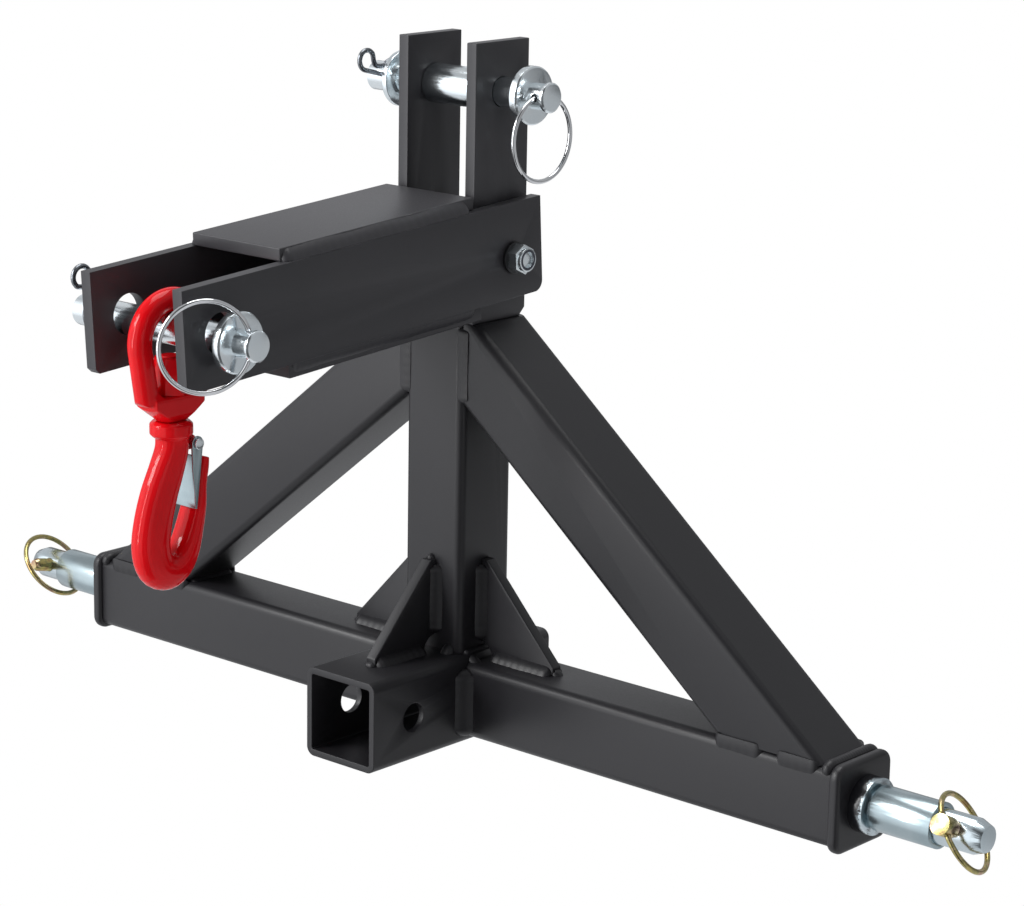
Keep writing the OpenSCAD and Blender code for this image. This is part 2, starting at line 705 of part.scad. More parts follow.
module hook_pin() {
    hook_place() cross_pin(0, clip_tilt_hook);
}

module hook_pin_ring() {
    hook_place() translate([pin_ring_x, 0, 0]) rotate([0, 0, -hook_ring_swing]) rotate([-90, 0, 0]) pull_ring();
}

module hook_pin_clip() {
    hook_place() translate([-pin_clip_x, 0, 0]) rotate([-90 + clip_tilt_hook, 0, 0])
        mirror([0, 0, 1]) pin_clip();
}

// Forged eye: an arch and two leaning bars that close on a bored boss, which tapers to its foot
module hook_eye() {
    shoulder = eye_floor + 5;
    side_len = (eye_arc_z - eye_mid * sin(eye_lean) - eye_floor + 4) / cos(eye_lean);
    floor_half = eye_mid / cos(eye_lean) - (eye_arc_z - eye_floor) * tan(eye_lean);
    edge = 2;
    color(red_enamel) hook_place() difference() {
        intersection() {
            union() {
                translate([0, 0, eye_arc_z]) rotate([90, 0, 90]) rotate([0, 0, -eye_lean])
                    rotate_extrude(angle = 180 + 2 * eye_lean) translate([eye_mid, 0]) circle(d = eye_bar);
                for (y = [0, 1]) mirror([0, y, 0]) translate([0, 0, eye_arc_z]) rotate([-eye_lean, 0, 0])
                    translate([0, eye_mid, -side_len]) cylinder(d = eye_bar, h = side_len);
                intersection() {
                    plate_x(boss_t) polygon([[-floor_half, shoulder], [-floor_half, boss_foot],
                        [floor_half, boss_foot], [floor_half, shoulder], [floor_half - 3, shoulder],
                        [floor_half - 5.5, eye_floor + 1.5], [floor_half - 7.5, eye_floor],
                        [7.5 - floor_half, eye_floor], [5.5 - floor_half, eye_floor + 1.5],
                        [3 - floor_half, shoulder]]);
                    plate_y(3 * eye_outer) polygon([[-boss_t / 2 + edge, boss_foot], [boss_t / 2 - edge, boss_foot],
                        [boss_t / 2, boss_foot + 2 * edge], [boss_t / 2, eye_floor - edge],
                        [eye_bar / 2 - 1, shoulder], [1 - eye_bar / 2, shoulder],
                        [-boss_t / 2, eye_floor - edge], [-boss_t / 2, boss_foot + 2 * edge]]);
                }
            }
            rotate_extrude() polygon([[0, boss_foot], [boss_foot_d / 2 - 1, boss_foot],
                [boss_foot_d / 2, boss_foot + 1], [eye_outer - 4.5, eye_floor - 1.5], [eye_outer, shoulder + 4],
                [eye_outer + 4, shoulder + 12], [eye_outer + 4, eye_top + 2 * eye_bar],
                [0, eye_top + 2 * eye_bar]]);
        }
        translate([0, 0, boss_foot - 1]) cylinder(d = shank_hole_d, h = boss_h + 2);
    }
}

module swivel_nut() {
    color(red_enamel) hook_place() translate([0, 0, nut_foot]) difference() {
        intersection() {
            cylinder(d = swivel_nut_af / cos(30), h = swivel_nut_h, $fn = 6);
            cylinder(d1 = swivel_nut_af * 1.5, d2 = swivel_nut_af, h = swivel_nut_h);
        }
        translate([0, 0, -1]) cylinder(d = shank_hole_d, h = swivel_nut_h + 2);
    }
}

// Forged hook: turned shank and collar above a bowl of varying section
module hook_body() {
    path = smooth(hook_path, path_steps);
    last = len(path) - 1;
    collar_edge = 2;
    points = [for (i = [0:last]) let (p = path[i], h = heading(path, i)) for (j = [0:ring_sides - 1])
        let (a = 360 * j / ring_sides, s = pow(abs(sin(a)), 0.85) * sign(sin(a)),
            c = pow(abs(cos(a)), 0.85) * sign(cos(a)), u = p[2] * s, w = hook_half * p[3] * c * (1 + 0.1 * s))
        [w, p[0] - u * sin(h), p[1] + u * cos(h)]];
    color(red_enamel) hook_place() difference() {
        union() {
            translate([0, 0, collar_foot]) cylinder(d = shank_d, h = nut_foot + swivel_nut_h + 1 - collar_foot);
            translate([0, 0, collar_foot]) rotate_extrude() polygon([[0, 0],
                [hook_collar_d / 2 - collar_edge, 0], [hook_collar_d / 2, collar_edge],
                [hook_collar_d / 2, hook_collar_t - collar_edge],
                [hook_collar_d / 2 - collar_edge, hook_collar_t], [0, hook_collar_t]]);
            translate([0, 0, collar_foot]) polyhedron(points = points, faces = skin(last + 1, ring_sides),
                convexity = 6);
            translate([0, latch_y, latch_z]) rod_x(2 * lug_r, 2 * lug_half);
            translate([-lug_half, 0, latch_z - lug_r]) cube([2 * lug_half, latch_y, 2 * lug_r]);
        }
        translate([0, latch_y, latch_z]) rod_x(rivet_d + 2 * fit, 4 * lug_half);
    }
}

// Sheet latch: two ears on the rivet and a plate down to the inside of the tip
module hook_latch() {
    half = latch_w / 2;
    color(zinc) hook_place() translate([0, latch_y, latch_z]) difference() {
        union() {
            for (x = [-1, 1]) translate([x * (half - latch_t / 2), 0, 0]) {
                rod_x(2 * ear_r, latch_t);
                plate_x(latch_t) polygon([[-ear_r, 0], [ear_r, 0], [ear_r * 0.1, -latch_len * 0.8],
                    [-latch_t / 2, -latch_len], [-latch_t, -latch_len], [-ear_r * 0.9, -latch_len * 0.4]]);
            }
            translate([-half, -latch_t - 0.6, -latch_len]) cube([latch_w, latch_t, latch_len - ear_r - 3]);
        }
        rod_x(rivet_d + 2 * fit, latch_w + 2);
    }
}

module latch_rivet() {
    head = 1.6;
    color(zinc) hook_place() translate([0, latch_y, latch_z]) union() {
        rod_x(rivet_d, latch_w + 2 * gap);
        for (x = [-1, 1]) translate([x * (latch_w / 2 + gap + head / 2), 0, 0]) rod_x(rivet_d * 1.7, head);
    }
}

// Torsion spring: its coil sits on the rivet between the lug and the left ear
module latch_spring() {
    coil_r = rivet_d / 2 + spring_wire / 2 + gap;
    turns = 2;
    steps = 12 * turns;
    sides = 8;
    pitch = spring_wire + 0.15;
    start = -lug_half - gap - spring_wire / 2 - turns * pitch;
    points = [for (i = [0:steps]) let (a = 360 * turns * i / steps) for (j = [0:sides - 1])
        let (b = 360 * j / sides, r = coil_r + spring_wire / 2 * cos(b))
        [start + pitch * turns * i / steps + spring_wire / 2 * sin(b), r * cos(a), r * sin(a)]];
    color(dark_steel) hook_place() translate([0, latch_y, latch_z])
        polyhedron(points = points, faces = skin(steps + 1, sides), convexity = 6);
}

receiver_tube();
beam(-1);  // beam_left
beam(1);  // beam_right
end_cap(-1);  // end_cap_left
end_cap(1);  // end_cap_right
mast_tube();
brace(-1);  // brace_left
brace(1);  // brace_right
gusset_front();
gusset_side(-1);  // gusset_left
gusset_side(1);  // gusset_right
upright(-1);  // upright_left
upright(1);  // upright_right
frame_welds();
lift_pin(-1, -linch_tilt_left);  // lift_pin_left
lift_pin(1, -linch_tilt_right);  // lift_pin_right
lift_sleeve(-1);  // lift_sleeve_left
lift_sleeve(1);  // lift_sleeve_right
linch_pin(-1, -1, -linch_tilt_left, ring_lean_left);  // linch_pin_left
linch_pin(1, 1, -linch_tilt_right, ring_lean_right);  // linch_pin_right
linch_ring(-1, -1, -linch_tilt_left, ring_lean_left);  // linch_ring_left
linch_ring(1, 1, -linch_tilt_right, ring_lean_right);  // linch_ring_right
top_link_pin();
top_link_sleeve();
top_washer_inner();
top_washer_outer();
top_pin_ring();
top_pin_clip();
arm_side(-1);  // arm_side_left
arm_side(1);  // arm_side_right
arm_top_plate();
arm_bottom_plate();
arm_welds();
arm_bolt();
arm_bolt_nut();
arm_bolt_washer();
hook_pin();
hook_pin_ring();
hook_pin_clip();
hook_eye();
swivel_nut();
hook_body();
hook_latch();
latch_rivet();
latch_spring();
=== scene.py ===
"""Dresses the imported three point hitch: powder coated tubes and plates, zinc plated pins, a red enamelled hook.

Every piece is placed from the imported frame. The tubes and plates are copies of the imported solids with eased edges.
Weld beads, rings, clips, the spring and the threads are surfaces worked out with numpy.
"""

import json
import logging
import math
from dataclasses import dataclass, field, replace
from enum import Enum

import bmesh
import bpy
import numpy as np
from mathutils import Matrix, Vector


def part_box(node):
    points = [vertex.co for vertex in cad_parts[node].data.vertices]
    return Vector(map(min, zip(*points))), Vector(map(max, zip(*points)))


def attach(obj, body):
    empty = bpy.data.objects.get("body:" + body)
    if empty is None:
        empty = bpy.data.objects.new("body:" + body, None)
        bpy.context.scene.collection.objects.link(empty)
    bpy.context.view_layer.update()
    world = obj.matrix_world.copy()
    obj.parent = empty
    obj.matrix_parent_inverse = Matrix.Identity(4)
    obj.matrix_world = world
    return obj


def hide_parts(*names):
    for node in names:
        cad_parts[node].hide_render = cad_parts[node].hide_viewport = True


log = logging.getLogger("hitch")
MM = 0.001
TAU = 2.0 * math.pi
WHITE = (1.0, 1.0, 1.0, 1.0)
Tree, Node, Socket = bpy.types.NodeTree, bpy.types.Node, bpy.types.NodeSocket
Material, Piece = bpy.types.Material, bpy.types.Object
Colour = tuple[float, float, float]
Source = Socket | float | tuple
Array = np.ndarray
Shell = tuple[Array, list]


class Coat(Enum):
    """The coats of the hitch, by the name of the record's material slot."""

    BLACK = "black_coat"
    ZINC = "zinc"
    YELLOW = "yellow_zinc"
    RED = "red_enamel"
    STEEL = "dark_steel"


def settle(target: object, **settings: object) -> None:
    """Sets attributes."""
    for key, value in settings.items():
        setattr(target, key, value)


def feed(tree: Tree, node: Node, inputs: dict[str | int, Source]) -> None:
    """Sets a node's inputs.

    Args:
        tree: The node's tree.
        node: The node.
        inputs: Values to hold or sockets to read, by the input's name or number.
    """
    for key, value in inputs.items():
        if isinstance(value, Socket):
            tree.links.new(value, node.inputs[key])
        else:
            node.inputs[key].default_value = value


def add(tree: Tree, kind: str, inputs: dict[str | int, Source], **settings: object) -> Node:
    """Adds a shader node.

    Args:
        tree: The tree that gets it.
        kind: Its type, without the leading ShaderNode.
        inputs: Its inputs, as feed takes them.
        **settings: Its attributes.

    Returns:
        The node.
    """
    node = tree.nodes.new(f"ShaderNode{kind}")
    settle(node, **settings)
    feed(tree, node, inputs)
    return node


def compute(tree: Tree, operation: str, *values: Source) -> Socket:
    """Adds a math node and gives its result."""
    return add(tree, "Math", dict(enumerate(values)), operation=operation).outputs["Value"]


def noise(tree: Tree, vector: Source, scale: Source, octaves: float) -> Socket:
    """Adds a noise texture, its scale in waves a metre, and gives its value."""
    return add(tree, "TexNoise", {"Vector": vector, "Scale": scale, "Detail": octaves}).outputs["Fac"]


def spread(tree: Tree, value: Source, low: Source, high: Source, first: float = 0.0, last: float = 1.0,
           curve: str = "LINEAR") -> Socket:
    """Adds a node that turns one range into another and stays inside it.

    Args:
        tree: The tree that gets the node.
        value: What it reads.
        low: The value that becomes first.
        high: The value that becomes last.
        first: The new range's start.
        last: Its end.
        curve: How it runs between them.

    Returns:
        The new value.
    """
    inputs = {"Value": value, "From Min": low, "From Max": high, "To Min": first, "To Max": last}
    return add(tree, "MapRange", inputs, interpolation_type=curve).outputs["Result"]


def cover(tree: Tree, share: Source, below: Source, above: Colour) -> Socket:
    """Adds a node that covers one colour by a share of another and gives the mix."""
    return add(tree, "Mix", {"Factor": share, "A": below, "B": (*above, 1.0)}, data_type="RGBA").outputs["Result"]


def pick(tree: Tree, share: Source, one: Node, two: Node) -> Node:
    """Adds a node that shows one shader where the share is 0 and another where it is 1."""
    return add(tree, "MixShader", {"Fac": share, 1: one.outputs[0], 2: two.outputs[0]})


def new_group(name: str, inputs: dict[str, float], outputs: tuple[str, ...]) -> Tree:
    """Makes an empty shader node group of number sockets.

    Args:
        name: The group's name.
        inputs: Names and default values of its inputs.
        outputs: Names of its outputs.

    Returns:
        The group, whose input and output nodes are named in and out.
    """
    group = bpy.data.node_groups.new(name, "ShaderNodeTree")
    for key, value in inputs.items():
        group.interface.new_socket(key, in_out="INPUT", socket_type="NodeSocketFloat").default_value = value
    for key in outputs:
        group.interface.new_socket(key, in_out="OUTPUT", socket_type="NodeSocketFloat")
    group.nodes.new("NodeGroupInput").name = "in"
    group.nodes.new("NodeGroupOutput").name = "out"
    return group


def grain_group() -> Tree:
    """Builds the surface grain that every finish uses.

    Returns:
        A group that puts out a broad cloud mask, a fine grain mask and a bump height, all from Object coordinates.
    """
    group = new_group("surface_grain", {"Cloud Scale": 18.0, "Grain Scale": 900.0, "Grain Weight": 0.5},
                      ("Cloud", "Grain", "Height"))
    given = group.nodes["in"].outputs
    place = add(group, "TexCoord", {}).outputs["Object"]
    cloud = noise(group, place, given["Cloud Scale"], 4.0)
    grain = noise(group, place, given["Grain Scale"], 2.0)
    height = compute(group, "ADD", compute(group, "MULTIPLY", grain, given["Grain Weight"]), cloud)
    feed(group, group.nodes["out"], {"Cloud": cloud, "Grain": grain, "Height": height})
    return group


def wear_group() -> Tree:
    """Builds the edge mask: points on convex edges, broken up by noise.

    Returns:
        A group that puts out a mask of 0 on faces and up to 1 on worn edges.
    """
    group = new_group("edge_wear", {"Start": 0.52, "End": 0.6, "Break Scale": 120.0}, ("Mask",))
    given = group.nodes["in"].outputs
    edge = spread(group, add(group, "NewGeometry", {}).outputs["Pointiness"], given["Start"], given["End"])
    broken = noise(group, add(group, "TexCoord", {}).outputs["Object"], given["Break Scale"], 3.0)
    feed(group, group.nodes["out"], {"Mask": compute(group, "MULTIPLY", edge, broken)})
    return group


def overspray_group() -> Tree:
    """Builds the mask of the black paint that strayed onto the lift pins' collars.

    Returns:
        A group whose mask is 1 nearer the frame than Edge, in metres, and breaks up into specks beyond it.
    """
    group = new_group("paint_overspray", {"Edge": 0.336, "Fade": 90.0, "Speck Scale": 1400.0, "Patch Scale": 70.0},
                      ("Mask",))
    given = group.nodes["in"].outputs
    place = add(group, "TexCoord", {}).outputs["Object"]
    reach = compute(group, "ABSOLUTE", add(group, "SeparateXYZ", {"Vector": place}).outputs["X"])
    depth = compute(group, "MULTIPLY", compute(group, "SUBTRACT", given["Edge"], reach), given["Fade"])
    specks = noise(group, place, given["Speck Scale"], 2.0)
    pattern = compute(group, "ADD", specks, noise(group, place, given["Patch Scale"], 2.0))
    mask = spread(group, compute(group, "ADD", pattern, depth), 0.97, 1.03)
    feed(group, group.nodes["out"], {"Mask": mask})
    return group


@dataclass(frozen=True)
class Finish:
    """A finish of the hitch: two shades, a gloss range and a fine bump.

    The scales of its pattern are in waves a metre.
    """

    name: str
    coat: Coat
    dark: Colour
    light: Colour
    rough: tuple[float, float]
    metallic: float = 0.0
    specular: float = 0.5
    cloud_scale: float = 18.0
    grain_scale: float = 900.0
    grain_weight: float = 0.5
    bump_mm: float = 0.05
    bump_strength: float = 0.3
    tints: tuple[Colour, ...] = ()
    edge: Colour | None = None
    edge_weight: float = 0.5
    paint_edge: float | None = None
    paint: Colour = (0.010, 0.010, 0.012)
    cloud_range: tuple[float, float] = (0.35, 0.65)
    grain_range: tuple[float, float] = (0.3, 0.7)

    def build(self, grain: Tree, wear: Tree, overspray: Tree) -> Material:
        """Makes the material: its colour runs from the dark shade through the tints to the light one.

        Args:
            grain: The group of the surface grain.
            wear: The group of the worn edges.
            overspray: The group of the stray paint.

        Returns:
            The material.
        """
        material = bpy.data.materials.new(self.name)
        material.use_nodes = True
        tree = material.node_tree
        masks = add(tree, "Group", {"Cloud Scale": self.cloud_scale, "Grain Scale": self.grain_scale,
                                    "Grain Weight": self.grain_weight}, node_tree=grain).outputs
        ramp = add(tree, "ValToRGB", {"Fac": masks["Cloud"]})
        stops = ramp.color_ramp.elements
        stops[0].position, stops[1].position = self.cloud_range
        stops[0].color, stops[1].color = (*self.dark, 1.0), (*self.light, 1.0)
        for place, tint in zip(np.linspace(*self.cloud_range, len(self.tints) + 2)[1:-1], self.tints):
            stops.new(place).color = (*tint, 1.0)
        colour = ramp.outputs["Color"]
        metallic = self.metallic
        if self.edge is not None:
            worn = add(tree, "Group", {}, node_tree=wear).outputs["Mask"]
            colour = cover(tree, compute(tree, "MULTIPLY", worn, self.edge_weight), colour, self.edge)
        if self.paint_edge is not None:
            painted = add(tree, "Group", {"Edge": self.paint_edge}, node_tree=overspray).outputs["Mask"]
            colour = cover(tree, painted, colour, self.paint)
            metallic = compute(tree, "SUBTRACT", 1.0, painted)
        bump = add(tree, "Bump", {"Distance": self.bump_mm * MM, "Strength": self.bump_strength,
                                  "Height": masks["Height"]})
        feed(tree, tree.nodes["Principled BSDF"], {
            "Base Color": colour, "Metallic": metallic, "Specular IOR Level": self.specular,
            "Roughness": spread(tree, masks["Grain"], *self.grain_range, *self.rough),
            "Normal": bump.outputs["Normal"]})
        return material


BLACK = Finish("black_powder_coat", Coat.BLACK, (0.0110, 0.0106, 0.0126), (0.0130, 0.0124, 0.0148), (0.38, 0.44),
               cloud_scale=9.0, grain_scale=1100.0, grain_weight=1.0, bump_mm=0.02, bump_strength=0.06,
               edge=(0.05, 0.049, 0.053))
# A lighter copy of the black powder coat, with painted light: it stands in for the brighter light that falls on the
# higher plates of the arm and the uprights.
BLACK_WITH_PAINTED_LIGHT = replace(BLACK, name="black_coat_with_painted_light", dark=(0.0305, 0.0297, 0.0337), light=(0.0345, 0.0335, 0.0377),
                edge=(0.06, 0.059, 0.063))
BEAD = replace(BLACK, name="black_weld_paint", dark=(0.0105, 0.0101, 0.0120), light=(0.0140, 0.0134, 0.0158),
               rough=(0.40, 0.48), cloud_scale=40.0, bump_strength=0.08, edge=None)
ZINC = Finish("bright_zinc", Coat.ZINC, (0.83, 0.90, 0.935), (0.89, 0.94, 0.96), (0.17, 0.24), metallic=1.0,
              cloud_scale=45.0, grain_scale=700.0, grain_weight=0.3, bump_mm=0.01, bump_strength=0.1)
SATIN = replace(ZINC, name="satin_zinc", dark=(0.36, 0.445, 0.475), light=(0.44, 0.52, 0.545), rough=(0.235, 0.262))
LIFT = replace(ZINC, name="lift_pin_zinc", dark=(0.58, 0.67, 0.71), light=(0.67, 0.745, 0.78), rough=(0.18, 0.25),
               paint_edge=0.3402)
POLISHED = replace(ZINC, name="polished_wire", dark=(0.66, 0.67, 0.69), light=(0.80, 0.81, 0.82), rough=(0.05, 0.09),
                   cloud_scale=60.0, bump_mm=0.002, bump_strength=0.02)
YELLOW = replace(ZINC, name="yellow_zinc", coat=Coat.YELLOW, dark=(0.40, 0.28, 0.13), light=(0.50, 0.32, 0.22),
                 rough=(0.18, 0.25), cloud_scale=110.0, grain_scale=800.0,
                 tints=((0.54, 0.46, 0.17), (0.36, 0.33, 0.15), (0.64, 0.51, 0.28)))
RED = Finish("red_enamel", Coat.RED, (0.64, 0.0032, 0.0066), (0.72, 0.0042, 0.0086), (0.07, 0.11), specular=0.22,
             cloud_scale=30.0, grain_scale=260.0, bump_strength=0.06)
STEEL = Finish("dark_steel", Coat.STEEL, (0.16, 0.17, 0.19), (0.26, 0.28, 0.30), (0.22, 0.32), metallic=1.0,
               cloud_scale=70.0, grain_weight=0.3, bump_mm=0.01, bump_strength=0.1)
WASHER = Finish("black_oxide", Coat.STEEL, (0.010, 0.010, 0.011), (0.018, 0.018, 0.020), (0.3, 0.42), metallic=0.3,
                cloud_scale=60.0, bump_strength=0.1)
NYLON = Finish("nylon_insert", Coat.STEEL, (0.03, 0.035, 0.05), (0.045, 0.05, 0.07), (0.4, 0.5), cloud_scale=80.0,
               bump_strength=0.1)


def as_array(points: object) -> Array:
    """Gives points as an array of floats."""
    return np.asarray(points, dtype=float)


def corners(node: str) -> tuple[Array, Array]:
    """Gives a node's lowest and highest corners, in millimetres."""
    low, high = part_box(node)
    return as_array(low) / MM, as_array(high) / MM


def joint_place(name: str) -> Vector:
    """Gives the place of a joint, in metres."""
    return Vector(next(joint["pos_m"] for joint in frame["record"]["behaviour"]["joints"] if joint["name"] == name))


def turned(degrees: float, axis: str) -> Matrix:
    """Gives a turn about X, Y or Z."""
    return Matrix.Rotation(math.radians(degrees), 4, axis)


def set_at(place: Matrix, points: Array | list) -> Array:
    """Moves points in millimetres by a matrix and gives them in metres."""
    return as_array([list(place @ Vector([c * MM for c in point])) for point in points])


def link_new(name: str, data: bpy.types.ID) -> Piece:
    """Makes an object of a mesh, a lamp or a camera and links it to the scene."""
    thing = bpy.data.objects.new(name, data)
    bpy.context.scene.collection.objects.link(thing)
    return thing


def sleeve_faces(rows: int, columns: int, closed: bool = False) -> list:
    """Faces of a skin whose rows of points each go round it.

    Args:
        rows: Number of rows.
        columns: Number of points in a row.
        closed: Whether the last row joins the first. If not, a face caps each end.

    Returns:
        Lists of indices, whose normals follow columns crossed with rows.
    """
    row = np.arange(rows if closed else rows - 1)[:, None]
    column = np.arange(columns)[None, :]
    next_row, next_column = (row + 1) % rows, (column + 1) % columns
    quad = [row * columns + column, row * columns + next_column, next_row * columns + next_column,
            next_row * columns + column]
    faces = np.stack(np.broadcast_arrays(*quad), axis=-1).reshape(-1, 4).tolist()
    if not closed:
        faces += [list(range(columns)), list(range(rows * columns - 1, (rows - 1) * columns - 1, -1))]
    return faces


def make_object(name: str, points: Array, faces: list, smooth_angle: float = 60.0) -> Piece:
    """Makes a mesh object whose faces point outwards.

    Args:
        name: The object's name.
        points: Its vertices, in metres.
        faces: Lists of vertex indices.
        smooth_angle: Edges sharper than this stay sharp, in degrees.

    Returns:
        The new object, linked to the scene.
    """
    mesh = bpy.data.meshes.new(name)
    mesh.from_pydata(points.tolist(), [], faces)
    tool = bmesh.new()
    tool.from_mesh(mesh)
    bmesh.ops.recalc_face_normals(tool, faces=tool.faces)
    tool.to_mesh(mesh)
    tool.free()
    mesh.shade_smooth()
    mesh.set_sharp_from_angle(angle=math.radians(smooth_angle))
    return link_new(name, mesh)


def sweep(path: Array, radius: Array | float, up: tuple, sides: int, closed: bool = False) -> Shell:
    """Sweeps a round section along a path.

    The heading is the difference of a point's neighbours. One vector across it is the part of up that is square to
    it, and the other is the heading crossed with that. A point is the path's point plus the radius times the cosine
    and the sine of an angle along those two vectors.

    Args:
        path: The path's points, in metres.
        radius: One radius, or one for each point of each section.
        up: A vector that is never along the path.
        sides: Points round the section.
        closed: Whether the path joins up.

    Returns:
        The points and the faces.
    """
    if closed:
        heading = np.roll(path, -1, axis=0) - np.roll(path, 1, axis=0)
    else:
        heading = np.gradient(path, axis=0)
    heading /= np.linalg.norm(heading, axis=1, keepdims=True)
    first = up - heading * (heading @ as_array(up))[:, None]
    first /= np.linalg.norm(first, axis=1, keepdims=True)
    second = np.cross(heading, first)
    angle = (np.arange(sides) * TAU / sides)[None, :, None]
    ring = first[:, None] * np.cos(angle) + second[:, None] * np.sin(angle)
    points = path[:, None] + as_array(radius)[..., None] * ring
    return points.reshape(-1, 3), sleeve_faces(len(path), sides, closed)


def smooth_path(points: Array, steps: int) -> Array:
    """Runs a Catmull curve through points.

    Between two points it is the cubic whose slope at each is half the difference of that point's neighbours.

    Args:
        points: The points, one a row.
        steps: New points for each old one.

    Returns:
        The curve's points.
    """
    padded = np.concatenate([points[:1], points, points[-1:]])[:, None]
    before, here, there, after = padded[:-3], padded[1:-2], padded[2:-1], padded[3:]
    t = (np.arange(steps) / steps)[None, :, None]
    curve = 0.5 * (2 * here + (there - before) * t + (2 * before - 5 * here + 4 * there - after) * t ** 2
                   + (3 * here - 3 * there + after - before) * t ** 3)
    return np.concatenate([curve.reshape(-1, points.shape[1]), points[-1:]])


def resample(path: Array, step: float) -> tuple[Array, Array]:
    """Spaces points evenly along a path.

    Args:
        path: The path's points.
        step: The wanted spacing.

    Returns:
        The new points and their distances along the new path.
    """
    def distances(line: Array) -> Array:
        """Distances of a line's points along it."""
        return np.concatenate([[0.0], np.cumsum(np.linalg.norm(np.diff(line, axis=0), axis=1))])

    along = distances(path)
    at = np.linspace(0.0, along[-1], max(3, int(round(along[-1] / step)) + 1))
    line = np.stack([np.interp(at, along, path[:, k]) for k in range(3)], axis=1)
    return line, distances(line)


def rounded_ends(along: Array, reach: float, least: float) -> Array:
    """Scale along a bead: a quarter circle that rises from least over the reach of each end, and 1 between."""
    near = np.clip(np.minimum(along, along[-1] - along) / reach, 0.0, 1.0)
    return np.sqrt(np.clip(1.0 - (1.0 - near) ** 2, least, 1.0))


def wander(along: Array, waves: tuple[float, float], heights: tuple[float, float], phases: Array) -> Array:
    """Sum of two sines of the length along a bead, each with its own wave, height and phase."""
    return sum(height * np.sin(along / wave * TAU + phase) for wave, height, phase in zip(waves, heights, phases))


def weld_bead(path: Array, radius: float, up: tuple, seed: int) -> Shell:
    """Works out one weld bead: overlapping ripples along a seam.

    The radius is the bead's own times one plus a ripple, which is the absolute sine of the length along the seam
    over the ripple's pitch, plus a slow wander. The ends round off as a quarter circle.

    Args:
        path: The seam's points, in metres.
        radius: The bead's radius.
        up: A vector that is never along the seam.
        seed: Picks the wander's phases.

    Returns:
        The points and the faces.
    """
    sides, steps, ripple_height = 14, 5, 0.03
    pitch = 0.62 * radius
    line, along = resample(path, pitch / steps)
    phases = np.random.default_rng(seed).uniform(0.0, TAU, 3)
    lag = 0.5 * np.cos(np.arange(sides) * TAU / sides - math.pi / 4)[None, :]
    ripple = ripple_height * np.abs(np.sin(math.pi * along[:, None] / pitch + lag))
    drift = wander(along, (9.0 * radius, 3.1 * radius), (0.03, 0.015), phases)
    size = radius * (0.95 + ripple + drift[:, None]) * rounded_ends(along, radius, 0.02)[:, None]
    return sweep(line, size, up, sides)


def fillet(start: Array, stop: Array, leg_a: Array, leg_b: Array, seed: int) -> Shell:
    """Works out a straight fillet weld in the corner of two faces. Lengths are in metres.

    A point of its section is the seam's point plus a share of one leg plus the other share of the other leg, bowed
    out by a sine of the share. The root is sunk a little into both faces. The legs shrink at the ends as a quarter
    circle and wander slowly along the seam.

    Args:
        start: The seam's first point.
        stop: Its last point.
        leg_a: The leg along one face, from the seam.
        leg_b: The leg along the other face.
        seed: Picks the wander's phases.

    Returns:
        The points and the faces.
    """
    bow_height, sink = 0.08, 0.10
    a, b = leg_a[None], leg_b[None]
    leg = float(max(np.linalg.norm(a), np.linalg.norm(b)))
    line, along = resample(np.stack([start, stop]), leg / 8.0)
    share = np.linspace(0.0, 1.0, 9)[:, None]
    face = (1.0 - share) * a + share * b + bow_height * np.sin(math.pi * share) * (a + b)
    sunk = -sink * (a + b)
    section = np.concatenate([sunk, a + 0.5 * sunk, face, b + 0.5 * sunk])
    phases = np.random.default_rng(seed).uniform(0.0, TAU, 2)
    size = rounded_ends(along, 0.8 * leg, 0.06) * (1.0 + wander(along, (7.0 * leg, leg), (0.03, 0.012), phases))
    points = line[:, None] + size[:, None, None] * section[None]
    return points.reshape(-1, 3), sleeve_faces(len(line), len(section))


def join_shells(name: str, shells: list[Shell]) -> Piece:
    """Makes one object of several closed shells.

    Args:
        name: Its name.
        shells: The points and the faces of each.

    Returns:
        The new object.
    """
    starts = np.cumsum([0] + [len(points) for points, _ in shells]).tolist()
    faces = [[index + start for index in face] for (_, part), start in zip(shells, starts) for face in part]
    return make_object(name, np.concatenate([points for points, _ in shells]), faces)


def helix(ends: tuple[float, float], radius: float, turns: int, count: int, centre: Vector) -> Array:
    """Points of a helix about a line along X: the angle grows evenly from one end to the other.

    Args:
        ends: The X of its ends, in millimetres.
        radius: Its radius, in millimetres.
        turns: How often it goes round.
        count: Number of points.
        centre: A point on its axis, in metres.

    Returns:
        The points, in metres.
    """
    angle = np.linspace(0.0, TAU * turns, count)
    across = radius * MM * np.stack([np.cos(angle), np.sin(angle)])
    return np.stack([np.linspace(*ends, count) * MM, centre.y + across[0], centre.z + across[1]], axis=1)


def node_copy(name: str, node: str) -> Piece:
    """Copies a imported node's mesh, merges its loose corners and joins its flat faces.

    Args:
        name: The new piece's name.
        node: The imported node.

    Returns:
        The copy, linked to the scene and without a material.
    """
    merge_distance, flat_angle = 2e-6, math.radians(1.0)
    mesh = frame["nodes"][node].data.copy()
    mesh.name = name
    mesh.materials.clear()
    tool = bmesh.new()
    tool.from_mesh(mesh)
    bmesh.ops.remove_doubles(tool, verts=tool.verts, dist=merge_distance)
    bmesh.ops.dissolve_limit(tool, angle_limit=flat_angle, verts=tool.verts, edges=tool.edges)
    tool.to_mesh(mesh)
    tool.free()
    return link_new(name, mesh)


def ease_edges(thing: Piece, width_mm: float, angle: float = 35.0, segments: int = 3) -> None:
    """Rounds the edges of a copied solid and keeps its faces flat.

    Args:
        thing: The piece.
        width_mm: The width of the rounding.
        angle: Edges sharper than this are rounded, in degrees.
        segments: Steps across the rounding.
    """
    thing.data.shade_smooth()
    settle(thing.modifiers.new("eased", "BEVEL"), width=width_mm * MM, segments=segments, limit_method="ANGLE",
           angle_limit=math.radians(angle), harden_normals=True, use_clamp_overlap=True, miter_outer="MITER_ARC")


